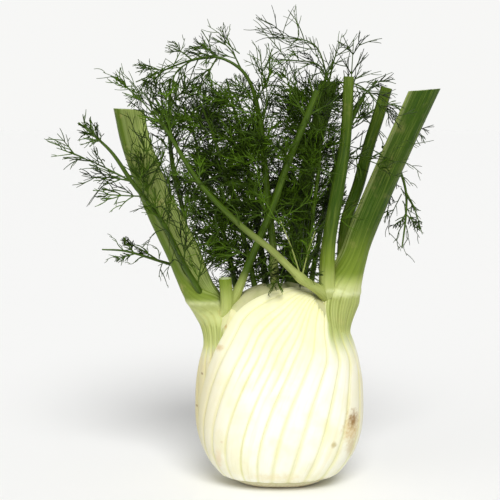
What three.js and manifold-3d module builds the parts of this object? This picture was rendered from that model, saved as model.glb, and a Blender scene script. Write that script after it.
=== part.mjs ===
// A fennel bulb: a swollen white bulb of overlapping leaf bases, green stalks cut short and feathery fronds.
// Millimetres. +Z is up, +X runs from the left leaf to the right leaf, and the front of the bulb faces -Y.
// The origin is the middle of the flat cut root that the bulb stands on.
import * as THREE from "three";
import { mergeVertices } from "three/addons/utils/BufferGeometryUtils.js";
import Module from "manifold-3d";

const wasm = await Module();
wasm.setup();

// ---- Driving dimensions ----
const BULB = {
  halfWidth: 48,
  halfDepth: 36,
  middle: 45,
  above: 70.5,
  below: 50,
  roundAbove: 2.14,
  roundBelow: 2.3,
};
const CLEAR = 0.4; // the gap between pieces that touch
const DEGREE = Math.PI / 180;

const point = (x, y, z) => new THREE.Vector3(x, y, z);
const MIDDLE = point(0, 0, BULB.middle);
const mix = THREE.MathUtils.lerp;
const smooth = (t) => THREE.MathUtils.smoothstep(t, 0, 1);

// ---- Solids ----
function solidOf(geometry) {
  const bare = geometry.clone();
  bare.deleteAttribute("normal");
  bare.deleteAttribute("uv");
  const merged = mergeVertices(bare, 1e-4);
  const vertProperties = merged.attributes.position.array;
  const build = (triVerts) => new wasm.Manifold(new wasm.Mesh({ numProp: 3, vertProperties, triVerts }));
  const faces = new Uint32Array(merged.index.array);
  const made = build(faces);
  return made.volume() > 0 ? made : build(faces.reverse());
}

const positionsOf = (points) => new THREE.Float32BufferAttribute(points.flatMap((p) => [p.x, p.y, p.z]), 3);

function geometryOf(solid) {
  const { vertProperties, triVerts } = solid.getMesh();
  const geometry = new THREE.BufferGeometry();
  geometry.setAttribute("position", new THREE.BufferAttribute(new Float32Array(vertProperties), 3));
  geometry.setIndex(new THREE.BufferAttribute(new Uint32Array(triVerts), 1));
  geometry.computeVertexNormals();
  return geometry;
}

// A closed surface through rings of equal length. A ring runs along an outer edge of outerCount points and back
// along an inner edge. Both ends are closed by a strip of triangles between the two edges.
function loftOf(rings, outerCount) {
  const size = rings[0].length;
  const faces = [];
  for (let row = 0; row + 1 < rings.length; row++)
    for (let i = 0; i < size; i++) {
      const [a, b] = [row * size + i, row * size + ((i + 1) % size)];
      faces.push(a, b, b + size, a, b + size, a + size);
    }
  const last = (rings.length - 1) * size;
  const innerCount = size - outerCount;
  let [outer, inner] = [0, 0];
  while (outer < outerCount - 1 || inner < innerCount - 1) {
    const onInner = size - 1 - inner;
    if (inner >= innerCount - 1 || (outer + 1) * (innerCount - 1) <= (inner + 1) * (outerCount - 1)) {
      faces.push(outer, onInner, outer + 1, last + outer, last + outer + 1, last + onInner);
      outer++;
    } else {
      faces.push(outer, onInner, onInner - 1, last + outer, last + onInner - 1, last + onInner);
      inner++;
    }
  }
  const geometry = new THREE.BufferGeometry();
  geometry.setAttribute("position", positionsOf(rings.flat()));
  geometry.setIndex(faces);
  return solidOf(geometry);
}

// A tapered tube along points, closed at both ends. reach is the radius at each point.
function tubeOf(points, reach, sides) {
  const curve = new THREE.CatmullRomCurve3(points);
  const rings = points.map((p, i) => {
    const along = curve.getTangent(i / (points.length - 1));
    const across = point(0, 1, 0).cross(along).normalize();
    const over = along.clone().cross(across);
    return Array.from({ length: sides }, (_, k) => {
      const turn = (2 * Math.PI * k) / sides;
      const offset = across.clone().multiplyScalar(Math.cos(turn)).addScaledVector(over, Math.sin(turn));
      return p.clone().addScaledVector(offset, reach[i]);
    });
  });
  return loftOf(rings, Math.ceil(sides / 2));
}

// ---- The bulb's skin ----
// How far the skin lies from the bulb's middle along a unit direction.
function skinReach(d) {
  const [power, height] = d.z > 0 ? [BULB.roundAbove, BULB.above] : [BULB.roundBelow, BULB.below];
  const part = (value, half) => Math.abs(value / half) ** power;
  return (part(d.x, BULB.halfWidth) + part(d.y, BULB.halfDepth) + part(d.z, height)) ** (-1 / power);
}

function skinPoint(direction, inset) {
  const d = direction.clone().normalize();
  return MIDDLE.clone().addScaledVector(d, skinReach(d) - inset);
}

// ---- Leaves: a sheath wrapped round the bulb, which narrows to a neck and goes on as a stalk ----
// u runs across the leaf from -1, its back margin, to 1, its front margin. A vein keeps one u from the root to
// the stalk's tip. The sheath's veins run between two poles: the root, straight down, and the leaning neck.
const RIGHT = {
  facing: 1, // +X
  lean: 0.61, // slope of the line from the bulb's middle to the neck
  wrap: { back: [130, 122], front: [174, 166] }, // degrees round the bulb, at the root and below the neck
  inset: 0,
  thickness: 5,
  veins: 19,
  rootCut: 5,
  sheathEnd: 0.88, // share of the way from pole to pole
  cut: { height: 221.5, slope: 0.1 },
  stations: [
    // the stalk's middle, its half widths outwards and sideways, and the turn of its channel to the front
    { at: point(34, 0, 106), out: 11.6, side: 11.4, turn: 0 },
    { at: point(38.6, 0, 122), out: 9.4, side: 10, turn: 0 },
    { at: point(42.8, 0, 138), out: 9.2, side: 9.6, turn: 0 },
    { at: point(51.2, 1, 159), out: 9.2, side: 9.4, turn: 0 },
    { at: point(70, 3, 202), out: 9.2, side: 9, turn: 0 },
    { at: point(78.5, 4, 221), out: 9.6, side: 9, turn: 0 },
  ],
};
const LEFT = {
  facing: -1,
  lean: 0.86,
  wrap: { back: [150, 165], front: [150, 146] },
  inset: 0.9,
  thickness: 8,
  veins: 15,
  rootCut: 5.6,
  sheathEnd: 0.86,
  cut: { height: 211, slope: 0.06 },
  stations: [
    { at: point(-37.3, 0, 97), out: 9.4, side: 9.8, turn: 10 },
    { at: point(-40, 0, 102), out: 9.4, side: 10, turn: 20 },
    { at: point(-45.5, 0, 111), out: 8.8, side: 9.6, turn: 40 },
    { at: point(-54, 0, 132), out: 8.6, side: 9.6, turn: 55 },
    { at: point(-67.6, 1.5, 160), out: 8.3, side: 8.8, turn: 55 },
    { at: point(-79.5, 3, 192), out: 8, side: 8.4, turn: 55 },
    { at: point(-83.5, 4, 210.5), out: 8.2, side: 8.4, turn: 55 },
  ],
};
const CHANNEL = 124; // the outer side of a stalk spans this many degrees each way from its outermost line
const COLLAR = 168; // the same at the neck
const OPENING = 0.25; // share of the stalk over which the collar opens to the channel
const CROWDING = 0.95; // how far a wing's veins crowd towards its front margin as they gather in the neck
const CLIMB = 0.75; // how strongly the neck sets out in the sheath's direction
const CHANNEL_FLOOR = { rise: 0.28, width: 0.9 }; // the channel's floor, as shares of the stalk's half widths
const MARGIN = 0.9; // thickness at a sheath's margin
const RIBS = { sheath: 0.7, foot: 0.9, stalk: 0.5 }; // the height of the ribs along a leaf
const NEAR_END = 0.97; // the row of the sheath that sets the direction in which the neck sets out
const GATHER = 0.78; // share of the way at which a wing starts to gather into the neck
const GROWN_MARGIN = 0.01; // share of its width by which a grown leaf's margins move on
const GROWN_ROOT = -0.25; // row at which a grown leaf starts
const SHEATH_ROWS = 11;
const NECK_ROWS = 3;
const INNER_COLUMNS = 10;
const HALVINGS = 24; // how finely the share at which a vein leaves the root's cut is found

const crowded = (u) => u + CROWDING * Math.max(u, 0) ** 2 * Math.max(1 - u, 0);

// The direction from the bulb's middle to vein u at a share s of the way from the root to the neck.
function veinDirection(leaf, u, s) {
  const [atRoot, below] = u < 0 ? leaf.wrap.back : leaf.wrap.front;
  const wing = mix(atRoot, below, smooth(s / GATHER));
  const angle = mix(u * wing, COLLAR * crowded(u), smooth((s - GATHER) / (1 - GATHER))) * DEGREE;
  const [high, wide] = [-Math.cos(Math.PI * s), Math.sin(Math.PI * s)];
  const aside = wide * Math.cos(angle) + (leaf.lean * (1 + high)) / 2;
  return point(leaf.facing * aside, -wide * Math.sin(angle), high);
}

// The share at which vein u leaves the root's cut.
function veinStart(leaf, u) {
  let [low, high] = [0, 0.5];
  for (let halving = 0; halving < HALVINGS; halving++) {
    const s = (low + high) / 2;
    if (skinPoint(veinDirection(leaf, u, s), leaf.inset).z < leaf.rootCut) low = s;
    else high = s;
  }
  return low;
}

// Each vein stands out as a rounded rib.
function ribRelief(leaf, u, height) {
  return height * (Math.abs(Math.cos((Math.PI * leaf.veins * (u + 1)) / 2)) - 0.5);
}

function sheathPoint(leaf, u, row, inset) {
  const s = mix(veinStart(leaf, u), leaf.sheathEnd, row);
  return skinPoint(veinDirection(leaf, u, s), leaf.inset + inset);
}

function stalkFrame(leaf, index) {
  const { stations } = leaf;
  const before = stations[Math.max(index - 1, 0)].at;
  const after = stations[Math.min(index + 1, stations.length - 1)].at;
  const along = after.clone().sub(before).normalize();
  const turn = stations[index].turn * DEGREE;
  const out = point(leaf.facing * Math.cos(turn), Math.sin(turn), 0);
  out.addScaledVector(along, -out.dot(along)).normalize();
  const side = along.clone().cross(out).multiplyScalar(-leaf.facing).normalize();
  return { along, out, side };
}

// The share of the stalk's length at a station.
function stationShare(leaf, index) {
  const steps = leaf.stations.slice(1).map(({ at }, i) => at.distanceTo(leaf.stations[i].at));
  const sum = (lengths) => lengths.reduce((total, length) => total + length, 0);
  return sum(steps.slice(0, index)) / sum(steps);
}

// A point of the stalk's section at a station: on its rounded outer side, or on its channelled inner side.
function stalkPoint(leaf, index, u, inner, grow) {
  const { at, out: halfOut, side: halfSide } = leaf.stations[index];
  const frame = stalkFrame(leaf, index);
  const wrap = mix(COLLAR, CHANNEL, smooth(stationShare(leaf, index) / OPENING)) * DEGREE;
  let outward = Math.cos(crowded(u) * wrap) * (halfOut + grow);
  let sideways = Math.sin(crowded(u) * wrap) * (halfSide + grow);
  if (inner) {
    outward = halfOut * (Math.cos(wrap) + CHANNEL_FLOOR.rise * (1 - u * u)) - grow;
    sideways = halfSide * Math.sin(wrap) * CHANNEL_FLOOR.width * u;
  }
  const p = at.clone().addScaledVector(frame.out, outward).addScaledVector(frame.side, sideways);
  if (index === leaf.stations.length - 1) {
    const rise = leaf.cut.height + leaf.cut.slope * (p.x - at.x) * leaf.facing - p.z;
    p.addScaledVector(frame.along, rise / frame.along.z);
  }
  return p;
}

// One point of the leaf at u on a row. Rows climb the sheath, gather in the neck and follow the stalk.
function leafPoint(leaf, u, row, inner, grow) {
  const thickness = inner ? MARGIN + (leaf.thickness - MARGIN) * Math.max(1 - u ** 4, 0) + grow : -grow;
  const relief = inner ? 0 : ribRelief(leaf, u, RIBS.sheath);
  if (row < SHEATH_ROWS) return sheathPoint(leaf, u, row / (SHEATH_ROWS - 1), thickness - relief);
  const frame = stalkFrame(leaf, 0);
  if (row < SHEATH_ROWS + NECK_ROWS) {
    const t = (row - SHEATH_ROWS + 1) / (NECK_ROWS + 1);
    const from = sheathPoint(leaf, u, 1, thickness - relief);
    const before = sheathPoint(leaf, u, NEAR_END, thickness - relief);
    const climb = from.clone().sub(before).normalize();
    const to = stalkPoint(leaf, 0, u, inner, grow);
    const length = from.distanceTo(to);
    const [t2, t3] = [t * t, t * t * t];
    const p = from.multiplyScalar(2 * t3 - 3 * t2 + 1).addScaledVector(to, 3 * t2 - 2 * t3);
    p.addScaledVector(climb, CLIMB * (t3 - 2 * t2 + t) * length);
    p.addScaledVector(frame.along, (t3 - t2) * length);
    return p;
  }
  const index = row - SHEATH_ROWS - NECK_ROWS;
  const p = stalkPoint(leaf, index, u, inner, grow);
  const outwards = p.clone().sub(leaf.stations[index].at).normalize();
  return inner ? p : p.addScaledVector(outwards, ribRelief(leaf, u, index < 2 ? RIBS.foot : RIBS.stalk));
}

// A leaf's solid. Grown by a gap, it is the space that other pieces leave for it.
function leafSolid(leaf, grow = 0) {
  const across = (count) => {
    const shares = Array.from({ length: count + 1 }, (_, i) => -1 + (2 * i) / count);
    return grow > 0 ? [-1 - GROWN_MARGIN, ...shares, 1 + GROWN_MARGIN] : shares;
  };
  const [outer, inner] = [across(2 * leaf.veins), across(INNER_COLUMNS).reverse()];
  const rows = Array.from({ length: SHEATH_ROWS + NECK_ROWS + leaf.stations.length }, (_, row) => row);
  if (grow > 0) rows.unshift(GROWN_ROOT);
  const rings = rows.map((row) => [
    ...outer.map((u) => leafPoint(leaf, u, row, false, grow)),
    ...inner.map((u) => leafPoint(leaf, u, row, true, grow)),
  ]);
  return loftOf(rings, outer.length);
}

// ---- Side stalks, cut short, which grow from the two leaves' necks ----
// A stem is a list of [x, y, z, radius], from the point where it is sunk in what it grows from.
const SIDE_STALKS = {
  right: [
    [[28, -4, 103, 4], [26.4, -8, 114, 4.6], [27.2, -10, 138, 3.8], [32.2, -10, 169, 3.6], [36, -10, 195, 3],
      [37.5, -10, 229, 2.8]],
    [[35, 5, 104, 3], [36, 9, 114, 3.4], [38.1, 12, 146, 3.3], [45.4, 13, 169, 3.3], [50.4, 13, 189, 3.3],
      [56, 13, 207, 3.3], [60.5, 13, 223, 3.2]],
  ],
  left: [[[-33, -5, 94, 3], [-29.2, -8, 102, 3.5], [-30, -9, 118, 3.5]]],
};
const STALK_SIDES = 10;

// ---- Fronds: a stem, limbs that branch from it, and sprays of needle leaflets along both ----
// A limb is [index of the stem's point that it grows from, its tip's x, y, z, and how far its middle bows up and
// to the right]. size scales a frond's sprays and needles. Its stem is bare up to the share bare.
const FRONDS = {
  frond_arch: {
    stem: [[-2, 5, 104, 2], [-2.4, 2, 117, 2.3], [-3.4, -2, 136, 2.1], [-7, -5, 169, 1.7],
      [-10, -6, 199, 1.5], [-14, -6, 220, 1.1], [-20.7, -6, 232.4, 0.9], [-34, -5, 239.5, 0.7],
      [-48, -4, 238, 0.55], [-67, -3, 231, 0.42], [-79, -3, 226, 0.3]],
    bare: 0.12,
    size: 1,
    limbs: [[3, -31, -17, 199, 3, 0], [4, -34, -13, 219, 3, 0], [4, -12, -14, 238, 2, 4],
      [6, -36, -7, 250, 3, 1], [7, -46, -9, 218, 4, 2], [8, -60, -8, 213, 5, -3],
      [9, -76, -6, 212, 4, -3], [8, -62, -6, 246, 0, 2]],
  },
  frond_top: {
    stem: [[7, 10, 104, 3.6], [9, 10, 127, 4], [11.8, 10, 155, 4], [17.9, 11, 183, 4.4],
      [22.7, 11, 202, 4.6], [28, 11, 226, 5.2]],
    bare: 0.2,
    size: 1,
    limbs: [[5, -6, 4, 250, 9, 8], [5, 4, 3, 238, 4, 5], [5, 33, 2, 246, 2, 0], [4, 0, -2, 232, 4, 0],
      [3, 2, 22, 214, 4, 0], [5, 60, -14, 208, 7, 0]],
  },
  frond_straight: {
    stem: [[-31, -5, 98, 1.8], [-26, -6, 104, 2.1], [-15.7, -9, 129, 2.1], [-4.8, -12, 155.4, 2],
      [5, -13, 183.4, 1.9], [14.3, -13, 206, 1.8], [20.2, -13, 221.5, 1.7]],
    bare: 0.3,
    size: 0.9,
    limbs: [[2, -37, -16, 136, 3, 0], [4, -16, -24, 200, 2, 0], [5, 0, -24, 226, 2, 0]],
  },
  frond_diagonal: {
    stem: [[26, -6, 107, 2.4], [21.8, -12, 112, 2.4], [12, -17, 119, 2.2], [-4.3, -21, 135, 1.8],
      [-21.8, -24, 149.5, 1.6], [-43.2, -26, 172, 1.3], [-57.5, -26, 195, 1], [-64, -26, 206, 0.5],
      [-71, -25, 217, 0.3]],
    bare: 0.5,
    size: 0.6,
    limbs: [[2, 0, -24, 152, 2, 0], [2, 19, -25, 146, 2, 0], [6, -88, -24, 228, 3, 0],
      [6, -60, -27, 224, 0, -2]],
  },
  frond_centre: {
    stem: [[-12, 4, 104, 1.4], [-17, 3, 128, 1.4], [-23, 2, 152, 1.2], [-30, 0, 176, 1],
      [-37, -2, 198, 0.8], [-44, -4, 216, 0.5]],
    bare: 0.12,
    size: 1,
    limbs: [[1, -42, -8, 140, 3, 0], [2, -2, -4, 172, 2, 0], [2, -48, -6, 164, 3, 0],
      [3, -12, -6, 202, 2, 0], [3, -52, -10, 186, 3, 0]],
  },
  frond_centre_right: {
    stem: [[14, 5, 103, 1.4], [16, 1, 130, 1.4], [19, -2, 155, 1.2], [22, -3, 180, 1],
      [22, -2, 205, 0.8], [16, -4, 228, 0.5]],
    bare: 0.12,
    size: 1,
    limbs: [[1, 2, -12, 148, 2, 0], [2, 6, -14, 176, 2, 0], [3, 4, -8, 206, 2, 0],
      [2, 26, -4, 172, 1, 0]],
  },
  frond_back: {
    stem: [[-6, 16, 102, 1.8], [-9, 21, 125, 1.8], [-13, 27, 150, 1.6], [-18, 33, 178, 1.3],
      [-24, 37, 205, 0.9], [-30, 38, 228, 0.5]],
    bare: 0.15,
    size: 1,
    limbs: [[1, -32, 40, 150, 4, 0], [2, 8, 44, 176, 4, 0], [2, -38, 40, 178, 4, 0],
      [3, 2, 46, 204, 4, 0], [3, -46, 44, 208, 4, 0]],
  },
  frond_back_right: {
    stem: [[12, 17, 101, 1.8], [15, 26, 128, 1.8], [18, 33, 155, 1.6], [21, 37, 182, 1.2],
      [25, 40, 208, 0.8], [28, 41, 228, 0.5]],
    bare: 0.15,
    size: 1,
    limbs: [[1, 30, 46, 150, 4, 0], [2, 0, 48, 172, 4, 0], [2, 42, 42, 180, 4, 0], [3, 6, 50, 210, 4, 0]],
  },
  frond_back_left: {
    stem: [[-22, 12, 99, 1.5], [-27, 18, 122, 1.5], [-34, 24, 148, 1.2], [-41, 28, 172, 1],
      [-48, 30, 194, 0.7], [-55, 31, 214, 0.4]],
    bare: 0.15,
    size: 1,
    limbs: [[1, -50, 32, 142, 4, 0], [2, -24, 20, 172, 4, 0], [2, -62, 32, 168, 4, 0],
      [3, -34, 22, 204, 4, 0]],
  },
  frond_left_back: {
    stem: [[-35, 6, 99, 1.2], [-43, 13, 115, 1.3], [-50, 13.5, 130, 1.3], [-54.5, 12, 155, 1.3],
      [-59, 10, 175, 1.3], [-61.2, 9, 195, 1.1], [-61, 8, 228, 0.6]],
    bare: 0.3,
    size: 0.9,
    limbs: [[3, -36, 8, 172, 3, 0], [4, -46, 4, 204, 2, 0], [5, -50, 6, 226, 2, 0],
      [5, -72, 12, 222, 2, 0]],
  },
  frond_left: {
    stem: [[-43, -4, 107, 1.4], [-45.5, -10, 113, 1.5], [-52.6, -12.5, 126, 1.5],
      [-62.3, -13, 146.2, 1.4], [-72.2, -13, 160.7, 1.3], [-81, -12, 172, 1.2], [-91.5, -11, 187.4, 0.9],
      [-102, -10, 197.5, 0.6], [-110, -9, 204, 0.4]],
    bare: 0.35,
    size: 0.8,
    limbs: [[5, -119, -8, 189, 1, 0], [5, -101, -12, 174, 1, 0], [4, -72, -21, 196, 2, 0],
      [3, -62, -22, 180, 2, 3], [2, -50, -23, 160, 2, 0], [1, -40, -20, 140, 2, 0],
      [3, -74, -22, 172, 0, 0]],
  },
  frond_left_low: {
    stem: [[-43, 6, 105, 0.9], [-50, 14, 113, 1], [-58, 14, 121, 0.9], [-68, 12, 125, 0.8],
      [-87, 9, 131, 0.6], [-100, 8, 132, 0.4]],
    bare: 0.35,
    size: 0.4,
    limbs: [[3, -90, 12, 137, 1, 0]],
  },
  frond_right: {
    stem: [[58.5, 13, 190, 0.8], [62, 15, 186, 0.9], [68.5, 16, 177, 0.8], [72.5, 16, 164, 0.7],
      [72.5, 15, 150, 0.6], [70.5, 14, 132, 0.4]],
    bare: 0.25,
    size: 0.45,
    limbs: [[3, 82, 14, 140, 3, 0], [2, 61, 18, 146, 3, 0]],
  },
  frond_right_top: {
    stem: [[17, 11, 102, 1.4], [22, 17, 130, 1.5], [28, 19, 160, 1.5], [34, 20, 183, 1.5],
      [40, 21, 201, 1.4], [48.7, 21, 219, 1.1]],
    bare: 0.25,
    size: 0.7,
    limbs: [[2, 40, 32, 186, 3, 0], [3, 52, 32, 214, 3, 0], [4, 42, 16, 250, 2, 0],
      [5, 63, 19, 227, 3, 0], [4, 81, 22, 190, 18, 4], [3, 58, -16, 180, 2, 0]],
  },
};
const SPRAY = { every: 34, length: 26, lean: 46, roll: 75, radius: 0.45, pairs: 3, swing: 12, attempts: 10 };
const NEEDLE = { length: 24, lean: 26, radius: 0.32, foot: 0.8, swing: 8, attempts: 5 };
const LIMB = { radius: 0.5, pairEvery: 11 };
// Lengths of one interval left bare before the first pair of needles or of sprays, and added after the last.
const PAIRS = { before: 0.75, spare: 0.55 };
const PLACES = { before: 0.7, spare: 0.2 };
const TWIST = 0.8; // radians by which a spray may turn about its own stalk
const ROUND = 0.63; // radians round the stem from one place tried for a spray to the next
const SAG = { middle: 1.2, tip: 3 }; // how far a spray's stalk may bow along the stem
const [SPRAY_TAPER, SPRAY_JITTER, ROLL_JITTER] = [0.45, 0.15, 30]; // sprays shorten up a stem
const [NEEDLE_TAPER, NEEDLE_JITTER] = [0.4, 0.25]; // needles shorten towards a stalk's tip
const CLOSING = 0.15; // share by which a needle closes towards its stalk at each further try
const FULL_AT = 40; // a stalk at least this long carries needles of full length
const LEAST_SIZE = 0.45; // share of the full length on the shortest stalks
const FACE = point(0.3, -1, 0.2).normalize(); // sprays spread flat to this direction before they roll
const STEM_SIDES = 5;
const KEEP_OFF = 0.45; // the least gap between a leaflet and anything that another piece holds
const OFF_BULB = 1; // the least gap between a leaflet's tip and the bulb

// A number from -1 to 1 that depends only on its keys.
function jitter(...keys) {
  const sum = keys.reduce((total, key, i) => total + (key + 1) * (12.9898 + 31.416 * i), 0);
  const value = Math.sin(sum) * 43758.5453;
  return 2 * (value - Math.floor(value)) - 1;
}

const placeOf = ([x, y, z]) => point(x, y, z);
const radiiOf = (stem) => stem.map(([, , , radius]) => radius);

function stemSolid(stem, sides, grow = 0) {
  return tubeOf(stem.map(placeOf), radiiOf(stem).map((radius) => radius + grow), sides);
}

// The stalk of a limb: its root on the stem, its bowed middle and its tip.
function limbStalk(frond, [index, x, y, z, rise, aside]) {
  const [root, tip] = [placeOf(frond.stem[index]), point(x, y, z)];
  const middle = root.clone().lerp(tip, 0.5).add(point(aside, 0, rise));
  return [root, middle, tip];
}

// Space that is taken: a list of { owner, a, b, radius }, each a line with a radius.
const taken = [];
function take(owner, stem) {
  for (let i = 0; i + 1 < stem.length; i++)
    taken.push({
      owner,
      a: placeOf(stem[i]),
      b: placeOf(stem[i + 1]),
      radius: Math.max(stem[i][3], stem[i + 1][3]),
    });
}

const takeStalk = (owner, points) => take(owner, points.map((p) => [...p, SPRAY.radius]));

function lineGap(a, b, c, d) {
  const [u, v, w] = [b.clone().sub(a), d.clone().sub(c), a.clone().sub(c)];
  const [uu, uv, vv, uw, vw] = [u.dot(u), u.dot(v), v.dot(v), u.dot(w), v.dot(w)];
  const clamp = THREE.MathUtils.clamp;
  const spread = uu * vv - uv * uv;
  const s0 = spread < 1e-9 ? 0 : clamp((uv * vw - vv * uw) / spread, 0, 1);
  const t = clamp((uv * s0 + vw) / vv, 0, 1);
  const s = clamp((uv * t - uw) / uu, 0, 1);
  return w.addScaledVector(u, s).addScaledVector(v, -t).length();
}

function isFree(owner, a, b, radius) {
  const gapToBulb = b.distanceTo(MIDDLE) - skinReach(b.clone().sub(MIDDLE).normalize());
  if (gapToBulb <= OFF_BULB) return false;
  return taken
    .filter((other) => other.owner !== owner)
    .every((other) => lineGap(a, b, other.a, other.b) > radius + other.radius + KEEP_OFF);
}

// A spray is one closed mesh: a slim three-sided stalk, and needles in opposite pairs. A pair stands on two of
// the three faces of a short length of the stalk, whose section turns half a face from pair to pair.
function spray(name, root, forward, outward, length, size, keys) {
  for (let attempt = 0; attempt < SPRAY.attempts; attempt++) {
    const lean = (SPRAY.lean + SPRAY.swing * jitter(...keys, 1)) * DEGREE;
    const side = outward.clone().applyAxisAngle(forward, attempt * ROUND);
    const ahead = forward.clone().multiplyScalar(Math.cos(lean)).addScaledVector(side, Math.sin(lean));
    const middle = root.clone().addScaledVector(ahead, length / 2);
    const tip = root.clone().addScaledVector(ahead, length);
    middle.addScaledVector(forward, SAG.middle * jitter(...keys, 2));
    tip.addScaledVector(forward, SAG.tip * jitter(...keys, 3));
    if (!isFree(name, root, middle, SPRAY.radius) || !isFree(name, middle, tip, SPRAY.radius)) continue;
    takeStalk(name, [root, middle, tip]);
    return sprayMesh(name, [root, middle, tip], SPRAY.pairs, SPRAY.radius, size, keys);
  }
  return null;
}

function sprayMesh(name, [root, middle, tip], pairs, rootRadius, size, keys) {
  const ahead = tip.clone().sub(root).normalize();
  const across = ahead.clone().cross(FACE).applyAxisAngle(ahead, TWIST * jitter(...keys, 4)).normalize();
  const over = ahead.clone().cross(across);
  const placeAt = (t) => (t < 0.5 ? root.clone().lerp(middle, t * 2) : middle.clone().lerp(tip, t * 2 - 1));
  const outwards = (turn) => {
    const sideways = across.clone().multiplyScalar(Math.cos(turn));
    return sideways.addScaledVector(over, Math.sin(turn));
  };
  const cornerTurn = (pair, k) => (90 + 60 * pair + 120 * k) * DEGREE;
  const faceTurn = (pair, k) => (150 + 60 * pair + 120 * k) * DEGREE;
  const [vertices, faces] = [[], []];
  const addRing = (t, pair, radius) => {
    for (let k = 0; k < 3; k++)
      vertices.push(placeAt(t).addScaledVector(outwards(cornerTurn(pair, k)), radius));
  };
  const needleSize = size * THREE.MathUtils.clamp(root.distanceTo(tip) / FULL_AT, LEAST_SIZE, 1);
  const ringOf = (index) => [0, 1, 2].map((k) => 3 * index + k);
  const bridge = (from, to, skipped = []) => {
    for (let k = 0; k < 3; k++) {
      if (skipped.includes(k)) continue;
      const [near, far] = [ringOf(from), ringOf(to)];
      const [a, b, c, d] = [near[k], near[(k + 1) % 3], far[(k + 1) % 3], far[k]];
      faces.push(a, b, d, b, c, d);
    }
  };
  const spikes = [];
  addRing(0, 0, rootRadius);
  for (let pair = 0; pair < pairs; pair++) {
    const start = (pair + PAIRS.before) / (pairs + PAIRS.spare);
    const radius = mix(rootRadius, NEEDLE.radius, start);
    addRing(start, pair, radius);
    addRing(start + NEEDLE.foot / root.distanceTo(tip), pair, radius);
    const lower = 2 * pair + 1;
    bridge(lower - 1, lower);
    const faced = [0, 1, 2].filter((k) => Math.abs(Math.cos(faceTurn(pair, k))) > 0.5);
    const standing = faced.filter((k) => {
      const way = outwards(faceTurn(pair, k));
      const length = needleSize * NEEDLE.length * (1 - NEEDLE_TAPER * start);
      const end = needleTip(name, placeAt(start), ahead, way, length, [...keys, pair, k]);
      if (end) spikes.push({ lower, k, end });
      return end;
    });
    bridge(lower, lower + 1, standing);
  }
  for (const { lower, k, end } of spikes) {
    const [near, far] = [ringOf(lower), ringOf(lower + 1)];
    const foot = [near[k], near[(k + 1) % 3], far[(k + 1) % 3], far[k]];
    vertices.push(end);
    foot.forEach((corner, i) => faces.push(corner, foot[(i + 1) % 4], vertices.length - 1));
  }
  vertices.push(tip);
  const last = ringOf(2 * pairs);
  last.forEach((corner, k) => faces.push(corner, last[(k + 1) % 3], vertices.length - 1));
  faces.push(0, 2, 1);
  const geometry = new THREE.BufferGeometry();
  geometry.setAttribute("position", positionsOf(vertices));
  geometry.setIndex(faces);
  return solidOf(geometry);
}

// Where a needle ends, or null if no direction tried for it is free.
function needleTip(name, foot, ahead, outwards, usualLength, keys) {
  const length = usualLength * (1 + NEEDLE_JITTER * jitter(...keys));
  for (let attempt = 0; attempt < NEEDLE.attempts; attempt++) {
    const lean = (NEEDLE.lean + NEEDLE.swing * jitter(...keys, attempt)) * DEGREE;
    const end = foot.clone().addScaledVector(ahead, length * Math.cos(lean));
    end.addScaledVector(outwards, length * Math.sin(lean) * (1 - CLOSING * attempt));
    if (!isFree(name, foot, end, NEEDLE.radius)) continue;
    take(name, [[...foot, NEEDLE.radius], [...end, NEEDLE.radius]]);
    return end;
  }
  return null;
}

// Sprays along a stem, in opposite pairs that roll on round it.
function spraysAlong(name, { stem, bare, size }, key) {
  const points = stem.map(placeOf);
  const lengths = points.slice(1).map((p, i) => p.distanceTo(points[i]));
  const whole = lengths.reduce((a, b) => a + b);
  const count = Math.max(1, Math.round((whole * (1 - bare)) / SPRAY.every));
  const solids = [];
  for (let k = 0; k < count; k++) {
    const share = (k + PLACES.before) / (count + PLACES.spare);
    let [left, i] = [whole * mix(bare, 1, share), 0];
    while (i < lengths.length - 1 && left > lengths[i]) left -= lengths[i++];
    const forward = points[i + 1].clone().sub(points[i]).normalize();
    const foot = points[i].clone().addScaledVector(forward, left);
    const level = forward.clone().cross(FACE).normalize();
    const roll = (k * SPRAY.roll + ROLL_JITTER * jitter(key, k)) * DEGREE;
    const usual = size * SPRAY.length * (1 - SPRAY_TAPER * (k / count));
    const length = usual * (1 + SPRAY_JITTER * jitter(key, k, 1));
    for (const way of [0, Math.PI]) {
      const outward = level.clone().applyAxisAngle(forward, roll + way);
      const made = spray(name, foot, forward, outward, length, size, [key, k, way]);
      if (made) solids.push(made);
    }
  }
  return solids;
}

function frondSolid(name, frond, index) {
  const limbs = frond.limbs.map((limb, i) => {
    const stalk = limbStalk(frond, limb);
    const pairs = Math.round(stalk[0].distanceTo(stalk[2]) / LIMB.pairEvery);
    return sprayMesh(name, stalk, pairs, LIMB.radius, frond.size, [index, i]);
  });
  const sprays = spraysAlong(name, frond, index);
  return largestBody(wasm.Manifold.union([stemSolid(frond.stem, STEM_SIDES), ...limbs, ...sprays]));
}

// ---- Inner bulb: the tight young leaf bases, domed between the two necks, grown on the root plate ----
const HEART_INSET = 1.8; // how far the inner bulb lies under the skin
const BALL_SIDES = [28, 16];
const BLOCK = 300; // a block larger than the bulb, which ends it at the ground
function innerBulb() {
  const ball = new THREE.SphereGeometry(1, ...BALL_SIDES);
  ball.rotateX(Math.PI / 2);
  const places = ball.attributes.position;
  for (let i = 0; i < places.count; i++) {
    const p = skinPoint(point().fromBufferAttribute(places, i), HEART_INSET);
    places.setXYZ(i, p.x, p.y, p.z);
  }
  const above = new THREE.BoxGeometry(BLOCK, BLOCK, BLOCK);
  above.translate(0, 0, BLOCK / 2);
  return solidOf(ball).intersect(solidOf(above));
}

// The largest body of a solid: a cut can leave loose scraps, which are dropped.
function largestBody(solid) {
  return solid.decompose().reduce((best, body) => (body.volume() > best.volume() ? body : best));
}

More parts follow.
